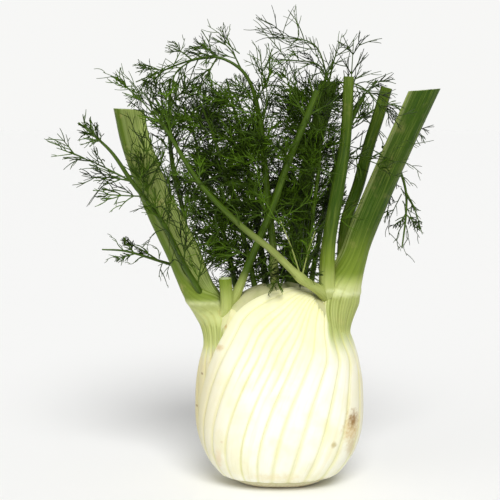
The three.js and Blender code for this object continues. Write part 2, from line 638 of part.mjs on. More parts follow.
// ---- Assembly ----
const sockets = wasm.Manifold.union(
  Object.values(FRONDS).map(({ stem }) => stemSolid(stem.slice(0, 3), STEM_SIDES, CLEAR)),
);
const withSideStalks = (leaf, stalks, grow) =>
  wasm.Manifold.union([
    leafSolid(leaf, grow),
    ...stalks.map((stalk) => stemSolid(stalk, STALK_SIDES, grow)),
  ]);
const rightSpace = withSideStalks(RIGHT, SIDE_STALKS.right, CLEAR);
const leftSpace = withSideStalks(LEFT, SIDE_STALKS.left, CLEAR);
const rightLeaf = withSideStalks(RIGHT, SIDE_STALKS.right, 0).subtract(sockets);
const leftLeaf = withSideStalks(LEFT, SIDE_STALKS.left, 0).subtract(rightSpace).subtract(sockets);
const heart = innerBulb().subtract(rightSpace).subtract(leftSpace).subtract(sockets);

const ROUGHNESS = 0.6;
const part = new THREE.Group();
function addNode(name, solid, color) {
  const material = new THREE.MeshStandardMaterial({ color, roughness: ROUGHNESS, metalness: 0 });
  const mesh = new THREE.Mesh(geometryOf(solid), material);
  mesh.name = name;
  part.add(mesh);
}
addNode("leaf_right", largestBody(rightLeaf), 0xd9e0a8);
addNode("leaf_left", largestBody(leftLeaf), 0xc9d59a);
addNode("inner_bulb", largestBody(heart), 0xeef0d0);

for (const leaf of [RIGHT, LEFT]) {
  const stalk = leaf.stations.map(({ at, out }) => [at.x, at.y, at.z, out]);
  take(leaf === RIGHT ? "leaf_right" : "leaf_left", stalk);
}
for (const stalk of [...SIDE_STALKS.right, ...SIDE_STALKS.left]) take("leaf", stalk);
for (const [name, frond] of Object.entries(FRONDS)) {
  take(name, frond.stem);
  frond.limbs.forEach((limb) => takeStalk(name, limbStalk(frond, limb)));
}
Object.entries(FRONDS).forEach(([name, frond], i) => addNode(name, frondSolid(name, frond, i), 0x3f6b1c));

export default part;
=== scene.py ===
"""A fennel bulb: a swollen white bulb of overlapping leaf bases, green cut stalks and feathery fronds.

Shapes are worked out in millimetres in the part's own frame: +Z up, +X from the left leaf to the right
leaf, the front facing -Y, and the origin in the middle of the flat cut root that the bulb stands on. Leaves,
inner bulb and main leaflets follow the rules of the part's own source, with more points. The fine veins and
threads are added here.
"""
import math

import bpy
import numpy as np
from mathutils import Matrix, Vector


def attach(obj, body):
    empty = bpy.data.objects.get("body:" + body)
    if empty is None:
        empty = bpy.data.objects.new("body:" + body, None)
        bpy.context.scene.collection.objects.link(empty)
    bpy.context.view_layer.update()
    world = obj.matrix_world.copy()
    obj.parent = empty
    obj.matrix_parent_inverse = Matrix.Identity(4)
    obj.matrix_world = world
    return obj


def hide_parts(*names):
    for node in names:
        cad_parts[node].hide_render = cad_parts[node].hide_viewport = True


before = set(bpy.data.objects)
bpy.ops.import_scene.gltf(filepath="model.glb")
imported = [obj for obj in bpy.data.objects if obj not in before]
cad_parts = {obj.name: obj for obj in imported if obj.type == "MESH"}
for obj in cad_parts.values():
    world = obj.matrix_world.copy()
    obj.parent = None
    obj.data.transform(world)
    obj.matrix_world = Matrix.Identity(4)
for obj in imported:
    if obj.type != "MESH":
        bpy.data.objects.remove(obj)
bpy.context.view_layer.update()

MM = 0.001
DEGREE = math.pi / 180
BOTH_WAYS = (0, math.pi)


# ---------------------------------------------------------------- small maths
def mix(a, b, t):
    return a + (b - a) * t


def smooth(t):
    t = np.clip(t, 0.0, 1.0)
    return t * t * (3 - 2 * t)


def step(low, high, x):
    """0 below low and 1 above high, with a soft change between them."""
    return smooth((np.asarray(x, float) - low) / (high - low))


def bump(centre, width, x):
    return np.exp(-(((np.asarray(x, float) - centre) / width) ** 2))


def unit(v):
    return v / np.maximum(np.linalg.norm(v, axis=-1, keepdims=True), 1e-12)


def turned(v, axis, angle):
    """v turned about a unit axis."""
    return v * math.cos(angle) + np.cross(axis, v) * math.sin(angle) + axis * (axis @ v) * (1 - math.cos(angle))


def leaning(forward, side, angle):
    """A direction that leans from forward to side by an angle."""
    return forward * np.cos(angle) + side * np.sin(angle)


def jitter(*keys):
    """A number from -1 to 1 that depends only on its keys."""
    total = sum((key + 1) * (12.9898 + 31.416 * i) for i, key in enumerate(keys))
    value = math.sin(total) * 43758.5453
    return 2 * (value - math.floor(value)) - 1


def ripple(places, size, seed):
    """Gentle waves from -1 to 1 through space, about size apart."""
    draw = np.random.default_rng(seed)
    total = np.zeros(places.shape[:-1])
    for _ in range(5):
        way = unit(draw.normal(size=3)) * draw.uniform(0.6, 1.5) * 2 * math.pi / size
        total += np.sin(places @ way + draw.uniform(0, 2 * math.pi))
    return total / 5


def walked(points):
    """How far along a curve each of its points lies. The curve runs down the first axis."""
    paces = np.linalg.norm(np.diff(points, axis=0), axis=-1)
    return np.concatenate([np.zeros_like(paces[:1]), np.cumsum(paces, axis=0)])


def hermite(a, b, leave, arrive, t):
    """The curve from a to b that sets off along leave and comes in along arrive."""
    return (a * (2 * t**3 - 3 * t**2 + 1) + b * (3 * t**2 - 2 * t**3)
            + leave * (t**3 - 2 * t**2 + t) + arrive * (t**3 - t**2))


def through(knots, places):
    """A smooth curve through knots, rows that start with a point, read at places from 0 to 1 of its length."""
    knots = np.asarray(knots, float)
    at = walked(knots[:, :3])
    slope = np.empty_like(knots)
    slope[1:-1] = (knots[2:] - knots[:-2]) / (at[2:] - at[:-2])[:, None]
    slope[0] = (knots[1] - knots[0]) / (at[1] - at[0])
    slope[-1] = (knots[-1] - knots[-2]) / (at[-1] - at[-2])
    x = np.asarray(places, float) * at[-1]
    i = np.clip(np.searchsorted(at, x, side="right") - 1, 0, len(at) - 2)
    span = (at[i + 1] - at[i])[:, None]
    return hermite(knots[i], knots[i + 1], slope[i] * span, slope[i + 1] * span, (x - at[i])[:, None] / span)


# ---------------------------------------------------------------- meshes
class Shape:
    """Vertices and faces in millimetres, with a few numbers at each vertex that the materials read."""

    def __init__(self):
        self.vertices, self.faces, self.fields, self.count = [], [], [], 0

    def add(self, points, faces, grain=(0, 0, 0), **fields):
        """Adds a grid of points. A field is one number, or an array that spreads over the grid."""
        grid = points.shape[:-1]
        self.faces += [group + self.count for group in faces]
        self.vertices.append(points.reshape(-1, 3))
        self.fields.append({key: np.broadcast_to(value, grid).reshape(-1, 1) for key, value in fields.items()})
        self.fields[-1]["grain"] = np.broadcast_to(grain, (*grid, 3)).reshape(-1, 3)
        self.count += len(self.vertices[-1])

    def make(self, name, node, slot, material):
        """The mesh object that stands in for the node."""
        corners = np.concatenate([group.ravel() for group in self.faces])
        sizes = np.concatenate([np.full(len(group), group.shape[1]) for group in self.faces])
        mesh = bpy.data.meshes.new(name)
        for part, key, data, kind in ((mesh.vertices, "co", np.concatenate(self.vertices) * MM, np.float32),
                                      (mesh.loops, "vertex_index", corners, np.int32),
                                      (mesh.polygons, "loop_start", np.cumsum(sizes) - sizes, np.int32)):
            part.add(len(data))
            part.foreach_set(key, data.astype(kind).ravel())
        mesh.update(calc_edges=True)
        for key in sorted({key for fields in self.fields for key in fields}):
            wide, kind, store = (3, "FLOAT_VECTOR", "vector") if key == "grain" else (1, "FLOAT", "value")
            values = np.concatenate([fields.get(key, np.zeros((len(part), wide)))
                                     for fields, part in zip(self.fields, self.vertices)])
            mesh.attributes.new(key, kind, "POINT").data.foreach_set(store, values.astype(np.float32).ravel())
        mesh.shade_smooth()
        mesh.materials.append(material)
        made = bpy.data.objects.new(name, mesh)
        bpy.context.collection.objects.link(made)
        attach(made, "root")
        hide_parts(node)


def grid_faces(rows, columns, closed=False, flip=False):
    """Quads between the points of a grid. closed joins the last column to the first."""
    r, c = np.meshgrid(np.arange(rows - 1), np.arange(columns if closed else columns - 1), indexing="ij")
    a, b = r * columns + c, r * columns + (c + 1) % columns
    quads = np.stack([a, b, b + columns, a + columns], -1).reshape(-1, 4)
    return quads[:, ::-1] if flip else quads


def grain_map(across, along):
    """Where each point lies across and along the plant's fibres."""
    return np.stack(np.broadcast_arrays(across, along, 0.0), -1)


CUT_DISH = 0.12  # how deep a side stalk's cut end dips, as a share of its radius


def tube(shape, points, radii, sides, ribs=0, rib_height=0.0, cut=True, **fields):
    """A round stem with fine ribs. Its far end is a cut face, or is left open where it is thread thin."""
    along = unit(np.gradient(points, axis=0))
    across, guess = np.empty_like(points), np.array([0.0, 1.0, 0.0])
    for i, t in enumerate(along):
        guess = across[i] = unit(guess - t * (guess @ t))
    turn = np.arange(sides) * 2 * math.pi / sides
    ribbed = 1 + rib_height * np.cos(ribs * turn)[:, None]
    ring = leaning(across[:, None], np.cross(along, across)[:, None], turn[:, None])
    places = points[:, None] + ring * radii[:, None, None] * ribbed
    grain = grain_map(turn * radii.mean(), walked(points)[:, None])
    fields = {key: np.reshape(value, (-1, 1)) for key, value in fields.items()}
    shape.add(places, [grid_faces(len(points), sides, closed=True, flip=True)], grain, **fields)
    if cut:
        share = np.array([1.0, 0.8, 0.4, 0.0])[:, None, None]
        end = points[-1] + (places[-1] - points[-1]) * share - along[-1] * CUT_DISH * radii[-1] * (1 - share**2)
        fields = {key: value[-1] for key, value in fields.items()}
        shape.add(end, [grid_faces(len(share), sides, closed=True, flip=True)], grain[-1],
                  pith=1 - share[..., 0] ** 6, **fields)


# ---------------------------------------------------------------- the bulb's skin
BULB = dict(half_width=48, half_depth=36, middle=45, above=70.5, below=50, round_above=2.14, round_below=2.3)
MIDDLE = np.array([0.0, 0.0, BULB["middle"]])


def skin_reach(d):
    """How far the skin lies from the bulb's middle along unit directions."""
    power = mix(BULB["round_below"], BULB["round_above"], step(-0.25, 0.5, d[..., 2]))
    height = np.where(d[..., 2] > 0, BULB["above"], BULB["below"])
    total = (np.abs(d[..., 0] / BULB["half_width"]) ** power + np.abs(d[..., 1] / BULB["half_depth"]) ** power
             + np.abs(d[..., 2] / height) ** power)
    return total ** (-1 / power)


def skin_point(direction, inset):
    d = unit(direction)
    return MIDDLE + d * (skin_reach(d) - inset)[..., None]


def off_skin(places):
    """How far places lie outside the skin."""
    off = places - MIDDLE
    return np.linalg.norm(off, axis=-1) - skin_reach(unit(off))


# ---------------------------------------------------------------- the two outer leaves
def right_green(u, run, z):
    """How green the right leaf is: its neck flares from cream to green, and its front margin stays pale."""
    neck = (0.12 * step(62, 80, z) + 0.26 * step(74, 92, z)) * (1 - 0.9 * step(0.7, 0.8, crowded(RIGHT, u)))
    tint = 0.1 * step(80, 104, z) * step(0.45, 0.85, u)
    above = 0.33 + 0.34 * step(112, 124, z) + 0.33 * step(120, 160, z)
    return mix(np.maximum(neck, tint), above, step(106, 111, z) * step(1.5, 1.8, run))


def left_green(u, run, z):
    neck = (0.12 * step(64, 80, z) + 0.24 * step(70, 86, z)) * (1 - 0.9 * step(*UNDER_WING, u))
    neck *= 1 - 0.1 * step(90, 95, z)
    above = 0.34 + 0.26 * step(101, 108, z) + 0.38 * step(106, 130, z)
    return mix(neck, above, step(98, 103, z) * step(1.2, 1.6, run))


# u runs across a leaf from -1, its back margin, to 1, its front margin, and a vein keeps one u from root to
# tip. run is 0 at the root, 1 where the neck begins, 2 at the foot of the stalk and 3 at its cut end. back and
# front are how far a sheath wraps, in degrees, at the root and below the neck. A crease is the groove of a
# vein, and the late ones start half way up. The node is the ring round the stalk's foot, with the bare scar
# below it. A station is the stalk's middle, its half widths outwards and sideways, and how far its channel
# turns to the front.
UNDER_WING = (0.66, 0.82)  # the u between which the left leaf goes under the right leaf's wing, and lies calm
RIGHT = dict(
    facing=1, lean=0.61, back=(130, 122), front=(174, 164), inset=0.0, thickness=5.0, root_cut=5.0,
    sheath_end=0.88, cut=(221.5, 0.1), node=109.3, scar=0, crowding=0.85, push=0.095, green=right_green,
    calm=lambda u: 1.0 + 0 * u,
    creases=[-0.93, -0.85, -0.74, -0.65, -0.53, -0.43, -0.31, -0.2, -0.09, 0.03, 0.141, 0.262, 0.375, 0.488,
             0.606, 0.7, 0.744, 0.786, 0.823, 0.858, 0.889, 0.918, 0.965],
    late=(0.744, 0.823, 0.889),
    stations=[(34, 0, 106, 11.6, 11.4, 0), (38.6, 0, 122, 9.4, 10, 0), (42.8, 0, 138, 9.2, 9.6, 0),
              (51.2, 1, 159, 9.2, 9.4, 0), (70, 3, 202, 9.2, 9, 0), (78.5, 4, 221, 9.6, 9, 0)])
LEFT = dict(
    facing=-1, lean=0.86, back=(150, 165), front=(150, 146), inset=0.9, thickness=8.0, root_cut=5.6,
    sheath_end=0.86, cut=(211, 0.06), node=103.5, scar=10, crowding=0.2, push=0, green=left_green,
    calm=lambda u: 1 - 0.8 * step(*UNDER_WING, u),
    creases=[-0.92, -0.79, -0.65, -0.52, -0.4, -0.26, -0.13, 0.01, 0.13, 0.27, 0.39, 0.52, 0.66, 0.79, 0.92],
    late=(),
    stations=[(-37.3, 0, 97, 9.4, 9.8, 10), (-40, 0, 102, 9.4, 10, 20), (-45.5, 0, 111, 8.8, 9.6, 40),
              (-54, 0, 132, 8.6, 9.6, 55), (-67.6, 1.5, 160, 8.3, 8.8, 55), (-79.5, 3, 192, 8, 8.4, 55),
              (-83.5, 4, 210.5, 8.2, 8.4, 55)])
CHANNEL, COLLAR = 124, 180  # a leaf wraps this far round on each side: its stalk, and its neck
MARGIN = 0.9  # how thick a leaf is at its margins
GATHER, CROWD_FROM = 0.78, 0.74  # where a leaf's margins start to close to the neck, and its veins to crowd
PUSHED = (0.745, 0.05)  # where along the sheath its front margin is pushed over, and over what width
OPENING = 0.25  # the share of the stalk over which the collar opens to the channel
CLIMB = 0.75  # how strongly the neck starts in the sheath's direction
RIB = 1.9  # the width of the neck's fine ribs
SHEATH_ROWS, NECK_ROWS, STALK_ROWS = 100, 34, 84
ROWS = SHEATH_ROWS + NECK_ROWS + STALK_ROWS
NECK_SHARES = np.arange(1, NECK_ROWS + 1) / (NECK_ROWS + 1)
RUN = np.concatenate([np.linspace(0, 1, SHEATH_ROWS), 1 + NECK_SHARES, np.linspace(2, 3, STALK_ROWS)])[:, None]
THINNING = 3  # the unseen inner side has only each third column and row
PLAIN = dict(crease=3, width=6)  # what the material reads where there are no veins


def crowded(leaf, u):
    """The veins of a wing crowd towards its front margin as they gather in the collar."""
    return np.where(u > 0, mix(u, 1 - (1 - np.clip(u, 0, 1)) ** 2.6, leaf["crowding"]), u)


def vein_direction(leaf, u, s):
    """The direction from the bulb's middle to vein u at a share s of the way from the root to the neck."""
    at_root, below = (np.where(u < 0, leaf["back"][i], leaf["front"][i]) for i in (0, 1))
    wing = mix(at_root, below, smooth(s / GATHER))
    place = mix(u, crowded(leaf, u), smooth((s - CROWD_FROM) / (1 - CROWD_FROM)))
    angle = place * mix(wing, COLLAR, smooth((s - GATHER) / (1 - GATHER))) * DEGREE
    high, wide = -np.cos(math.pi * s), np.sin(math.pi * s)
    aside = wide * np.cos(angle) + leaf["lean"] * (1 + high) / 2
    aside = aside - leaf["push"] * bump(*PUSHED, s) * np.maximum(u, 0) ** 4
    return np.stack([leaf["facing"] * aside, -wide * np.sin(angle), high + 0 * u], -1)


def vein_start(leaf, u):
    """The share at which vein u leaves the root's cut, found by halving."""
    low, high = np.full(u.shape, 0.001), np.full(u.shape, 0.5)
    for _ in range(24):
        s = (low + high) / 2
        under = skin_point(vein_direction(leaf, u, s), leaf["inset"])[..., 2] < leaf["root_cut"]
        low, high = np.where(under, s, low), np.where(under, high, s)
    return low


def stalk_path(leaf, places):
    """The stalk's middle, half widths and directions along, outwards and sideways, at places from 0 to 1."""
    places = np.asarray(places)
    read = through(leaf["stations"], places)
    ahead, behind = (through(leaf["stations"], np.clip(places + way, 0, 1))[:, :3] for way in (0.01, -0.01))
    along, turn = unit(ahead - behind), read[:, 5] * DEGREE
    out = np.stack([leaf["facing"] * np.cos(turn), np.sin(turn), 0 * turn], -1)
    out = unit(out - along * (out * along).sum(-1, keepdims=True))
    return read[:, :3], read[:, 3:4], read[:, 4:5], along, out, unit(np.cross(along, out) * -leaf["facing"])


def stalk_rows(leaf, u, inner):
    places = np.linspace(0, 1, STALK_ROWS)[:, None]
    at, half_out, half_side, along, out, side = stalk_path(leaf, places[:, 0])
    wrap = mix(COLLAR, CHANNEL, smooth(places / OPENING)) * DEGREE
    angle = wrap * crowded(leaf, u)
    outward, sideways = half_out * np.cos(angle), half_side * np.sin(angle)
    if inner:
        outward = half_out * (np.cos(wrap) + 0.28 * (1 - u**2))
        sideways = half_side * (np.sin(wrap) * 0.9 * u)
    p = at[:, None] + out[:, None] * outward[..., None] + side[:, None] * sideways[..., None]
    height, slope = leaf["cut"]
    rise = height + slope * (p[-1, :, 0] - at[-1, 0]) * leaf["facing"] - p[-1, :, 2]
    return p + along[:, None] * (places**12 * (rise / along[-1, 2]))[..., None]


def leaf_rows(leaf, u, inner=False):
    """The leaf's bare surface: rows climb the sheath, gather in the neck and follow the stalk."""
    thickness = MARGIN + (leaf["thickness"] - MARGIN) * np.maximum(1 - u**4, 0) if inner else 0 * u
    start = vein_start(leaf, u)

    def sheath(row):
        s = mix(start, leaf["sheath_end"], row)
        return skin_point(vein_direction(leaf, u, s), leaf["inset"] + thickness)

    low = np.stack([sheath(row) for row in np.linspace(0, 1, SHEATH_ROWS)])
    stalk = stalk_rows(leaf, u, inner)
    foot_along = stalk_path(leaf, [0.0])[3][0]
    climb = unit(low[-1] - sheath(0.97))
    length = np.linalg.norm(stalk[0] - low[-1], axis=-1)[:, None]
    neck = hermite(low[-1], stalk[0], climb * CLIMB * length, foot_along * length, NECK_SHARES[:, None, None])
    return np.concatenate([low, neck, stalk])


def bands(leaf):
    """The margins and creases that part a leaf into bands, and how many fine ribs each has on the neck."""
    marks = np.array([-1.0, *leaf["creases"], 1.0])
    arc = np.diff(crowded(leaf, marks)) * COLLAR * DEGREE * leaf["stations"][0][3]
    return marks, np.maximum(np.round(arc / RIB).astype(int), 1)


def leaf_columns(leaf):
    """Shares across the leaf: every crease is a column, and columns crowd near the creases and the margins."""
    marks, rib_counts = bands(leaf)
    columns = []
    for a, b, ribs in zip(marks, marks[1:], rib_counts):
        shares = [0.0, 0.02, 0.05, 0.1, 0.2, 0.35, 0.5, 0.65, 0.8, 0.9, 0.95, 0.98]
        if a == -1.0:
            shares = [0.0, *shares[4:]]
        if b == 1.0:
            shares = shares[:-3]
        if ribs > 1 and a >= -0.3:  # the ribs at the back stay unseen
            fine = ((i + x) / ribs for i in range(ribs) for x in (0.0, 0.1, 0.24, 0.5, 0.76, 0.9))
            shares = sorted([0.02, *fine, 0.98])
        columns.append(mix(a, b, np.array(shares)))
    return np.concatenate([*columns, [1.0]])


def outer_side(leaf, u):
    """The veined outer side: its places, how far each is along the leaf, and what the material reads there."""
    rows = leaf_rows(leaf, u)
    z = rows[..., 2]
    pace = np.linalg.norm(np.gradient(rows, axis=1), axis=-1) / np.gradient(u)  # millimetres for each unit of u
    marks, rib_counts = bands(leaf)
    nearest = marks[1:-1][np.abs(u[:, None] - marks[1:-1]).argmin(1)]
    band = np.clip(np.searchsorted(marks, u, side="right") - 1, 0, len(marks) - 2)
    span = marks[band + 1] - marks[band]
    within = (u - marks[band]) / span * rib_counts[band]
    width, rib = span * pace, span / rib_counts[band] * pace
    distance, beside = np.abs(u - nearest) * pace, np.abs(within - np.round(within)) * rib
    distance = distance + PLAIN["crease"] * np.isin(nearest, leaf["late"]) * (1 - step(0.4, 0.66, RUN))
    calm, margin = leaf["calm"](u), 1 - step(0.0, 2.4, (1 - np.abs(u)) * pace)

    # grooves along the creases, with finer ones between the neck's ribs, and a soft swelling between them
    on_stalk = step(1.98, 2.08, RUN)
    on_neck = step(0.86, 1.25, RUN) * (1 - on_stalk)
    depth = 0.34 * (1 - on_neck) * (1 - on_stalk) * step(0, 0.12, RUN) + 0.5 * on_neck + 0.13 * on_stalk
    depth = depth * (1 + 0.35 * np.sin(band * 2.4 + 1.1))
    relief = -depth * np.exp(-((distance / np.minimum(0.16 * width + 0.12, 0.75)) ** 1.25))
    swell = 1 - (1 - np.clip(2 * distance / np.maximum(width, 0.1), 0, 1)) ** 2
    scar_foot = leaf["node"] - leaf["scar"]
    above_ribs = step(scar_foot - 3, scar_foot, z)
    fine = step(0.9, 1.15, RUN) * (1 - above_ribs) * calm
    relief -= 0.42 * fine * np.exp(-((beside / np.minimum(0.3 * rib, 0.5)) ** 1.3))
    distance = np.minimum(distance, beside + PLAIN["crease"] * (1 - fine))
    relief += (0.26 * (1 - on_stalk) + 0.06) * np.clip(width / 6, 0, 1) * swell - 0.1
    relief += 0.22 * ripple(rows, 26, 3) * (1 - on_stalk) + 0.07 * ripple(rows, 7, 4)
    # the scar is smooth, and the node stands out as a ring
    below_node = 1 - step(leaf["node"] - 1, leaf["node"] + 2, z)
    scar = (leaf["scar"] > 0) * step(1.2, 1.5, RUN) * above_ribs * below_node
    ring = bump(leaf["node"], 1.3, z) * step(1.5, 1.8, RUN)
    relief = relief * (1 - 0.8 * scar) + 0.5 * ring
    # the front margin thins out and lies close on what is under it, and the root's lip turns in
    relief *= calm * (1 - 0.65 * step(0.5, 0.72, u) * step(0.74, 0.92, RUN))
    relief -= 0.4 * (1 - step(0, 9, (1 - u) * pace)) * (1 - step(0.8, 1.0, RUN))
    relief -= 0.1 * margin**2 + 1.1 * (1 - step(0, 0.022, RUN)) ** 2

    middle = np.where(RUN[..., None] < 1.5, MIDDLE, rows.mean(1, keepdims=True))
    normal = unit(np.cross(np.gradient(rows, axis=1), np.gradient(rows, axis=0)))
    normal *= np.sign((normal * (rows - middle)).sum(-1).mean())
    places = rows + normal * relief[..., None]
    length = walked(rows)
    grain = grain_map(np.cumsum(np.gradient(u)) * 60, length)
    return places, length, dict(grain=grain, crease=distance, width=width, margin=margin, band=ring, run=RUN,
                                green=leaf["green"](u, RUN, places[..., 2]))


def leaf_shape(leaf):
    """The leaf as one thick sheet: its veined outer side, inner side, rounded margins, lip and cut end."""
    shape, u, rightward = Shape(), leaf_columns(leaf), leaf["facing"] > 0
    places, length, fields = outer_side(leaf, u)
    shape.add(places, [grid_faces(ROWS, len(u), flip=rightward)], **fields)

    thin = np.unique(np.append(u[::THINNING], 1.0))
    pick = np.unique(np.append(np.arange(0, ROWS, THINNING), ROWS - 1))
    inside = leaf_rows(leaf, thin, inner=True)[pick]
    shape.add(inside, [grid_faces(len(pick), len(thin), flip=not rightward)],
              grain_map(thin * 30, length[pick][:, :1]), inner=1, run=RUN[pick],
              green=leaf["green"](thin, RUN[pick], inside[..., 2]), **PLAIN)

    for side, first, fourth in ((-1.0, 0, 3), (1.0, -1, -4)):
        edge = places[:, first]
        back = leaf_rows(leaf, np.array([side]), inner=True)
        away = unit(edge - places[:, fourth])[:, None]
        t = np.linspace(0, 1, 5)[:, None]
        strip = mix(edge[:, None], back, t) + away * 0.4 * np.sin(math.pi * t)
        shape.add(strip, [grid_faces(ROWS, len(t), flip=rightward == (side > 0))], run=RUN,
                  margin=step(2.2, 2.5, RUN), green=leaf["green"](side, RUN, strip[..., 2]), **PLAIN)

    # the lip at the root and the cut end of the stalk run from the outer side to the inner side
    inner_rows = leaf_rows(leaf, u, inner=True)
    for row, cut in ((0, 0.0), (ROWS - 1, 1.0)):
        outer, inner = places[row], inner_rows[row]
        t = np.linspace(0, 1, 9)[:, None]
        cap = mix(outer, inner, t[..., None])
        cap[..., 2] -= 0.55 * np.sin(math.pi * t) * cut
        cap[..., 2] += 0.12 * cut * ripple(cap, 2.2, 9)
        rim = np.minimum(t, 1 - t) * np.linalg.norm(inner - outer, axis=-1)
        shape.add(cap, [grid_faces(len(t), len(u), flip=rightward == (row == 0))], run=RUN[row],
                  pith=cut * step(0.1, 0.7, rim), green=leaf["green"](u, RUN[row], cap[..., 2]), **PLAIN)
    return shape


# Side stalks, cut short, that grow from the two leaves' necks: rows of x, y, z, radius. Each turns from pale
# to deep green between two heights.
SIDE_STALKS = dict(
    right=[([(29, -3.5, 103, 2.4), (27, -7, 110.5, 4.5), (26.4, -8.4, 117, 4.5), (27.2, -10, 138, 3.8),
             (32.2, -10, 169, 3.6), (36, -10, 195, 3), (37.5, -10, 229, 2.8)], 108, 150),
           ([(35, 5, 104, 3), (36, 9, 114, 3.4), (38.1, 12, 146, 3.3), (45.4, 13, 169, 3.3),
             (50.4, 13, 189, 3.3), (56, 13, 207, 3.3), (60.5, 13, 223, 3.2)], 104, 150)],
    left=[([(-33, -5, 94, 3), (-29.2, -8, 102, 3.5), (-30, -9, 118, 3.5)], 96, 140)])


def side_stalk(shape, knots, pale_to, deep_from):
    """A ribbed side stalk, pale at its foot and green further up."""
    points = through(knots, np.linspace(0, 1, 90))
    green = 0.35 + 0.6 * step(pale_to, deep_from, points[:, 2]) - 0.1 * step(185, 225, points[:, 2])
    tube(shape, points[:, :3], points[:, 3], 44, ribs=11, rib_height=0.035, green=green, run=2.5,
         crease=1.2, width=3.0)


# ---------------------------------------------------------------- the inner bulb
def heart_shape():
    """The tight young leaf bases on the root plate: a domed body with the margins of three sheaths on top."""
    shape, columns = Shape(), 200
    polar = np.concatenate([np.linspace(0.0, 0.9, 90), np.linspace(0.9, math.pi, 31)[1:]])[:, None]
    turn = np.arange(columns) * 2 * math.pi / columns
    d = np.stack([np.sin(polar) * np.cos(turn), np.sin(polar) * np.sin(turn), np.cos(polar) + 0 * turn], -1)
    base = skin_point(d, 1.8)
    x, y, z = base[..., 0], base[..., 1], base[..., 2]
    top, around = step(88, 100, z), np.arctan2(y, x)
    # how far each place lies from the margins of the overlapping young sheaths, which are lines across the dome
    first = x + 5.5 + 0.28 * (y + 6) - 0.012 * (y + 6) ** 2
    second = 5.2 - x - 0.2 * (y + 4)
    third = y - 9 + 0.1 * x
    relief = top * (0.75 * step(-0.35, 0.35, -first) + 0.95 * step(-0.35, 0.35, -second)
                    + 0.5 * step(-0.5, 0.5, third)
                    - 0.55 * (bump(0, 0.8, first) + bump(0, 0.8, second) + 0.6 * bump(0, 0.9, third)))
    relief += 0.1 * ripple(base, 9, 21) + 0.16 * ripple(base, 24, 22)
    relief += 0.04 * top * np.cos(46 * around + 3 * ripple(base, 30, 23))
    base = base + unit(base - MIDDLE) * relief[..., None]
    base[..., 2] = z = np.maximum(base[..., 2], 0.0)
    green = 0.24 * top * step(100, 116, z) + 0.25 * top * (bump(0, 2.2, first) + bump(0, 2.2, second))
    crease = np.where(top > 0.5, np.minimum(np.abs(first), np.abs(second)), PLAIN["crease"])
    shape.add(base, [grid_faces(len(polar), columns, closed=True, flip=True)],
              grain_map(around * 30, polar * 60), green=green, crease=crease, root=1 - step(1.6, 6.2, z),
              cut=1 - step(0.02, 0.4, z))
    return shape




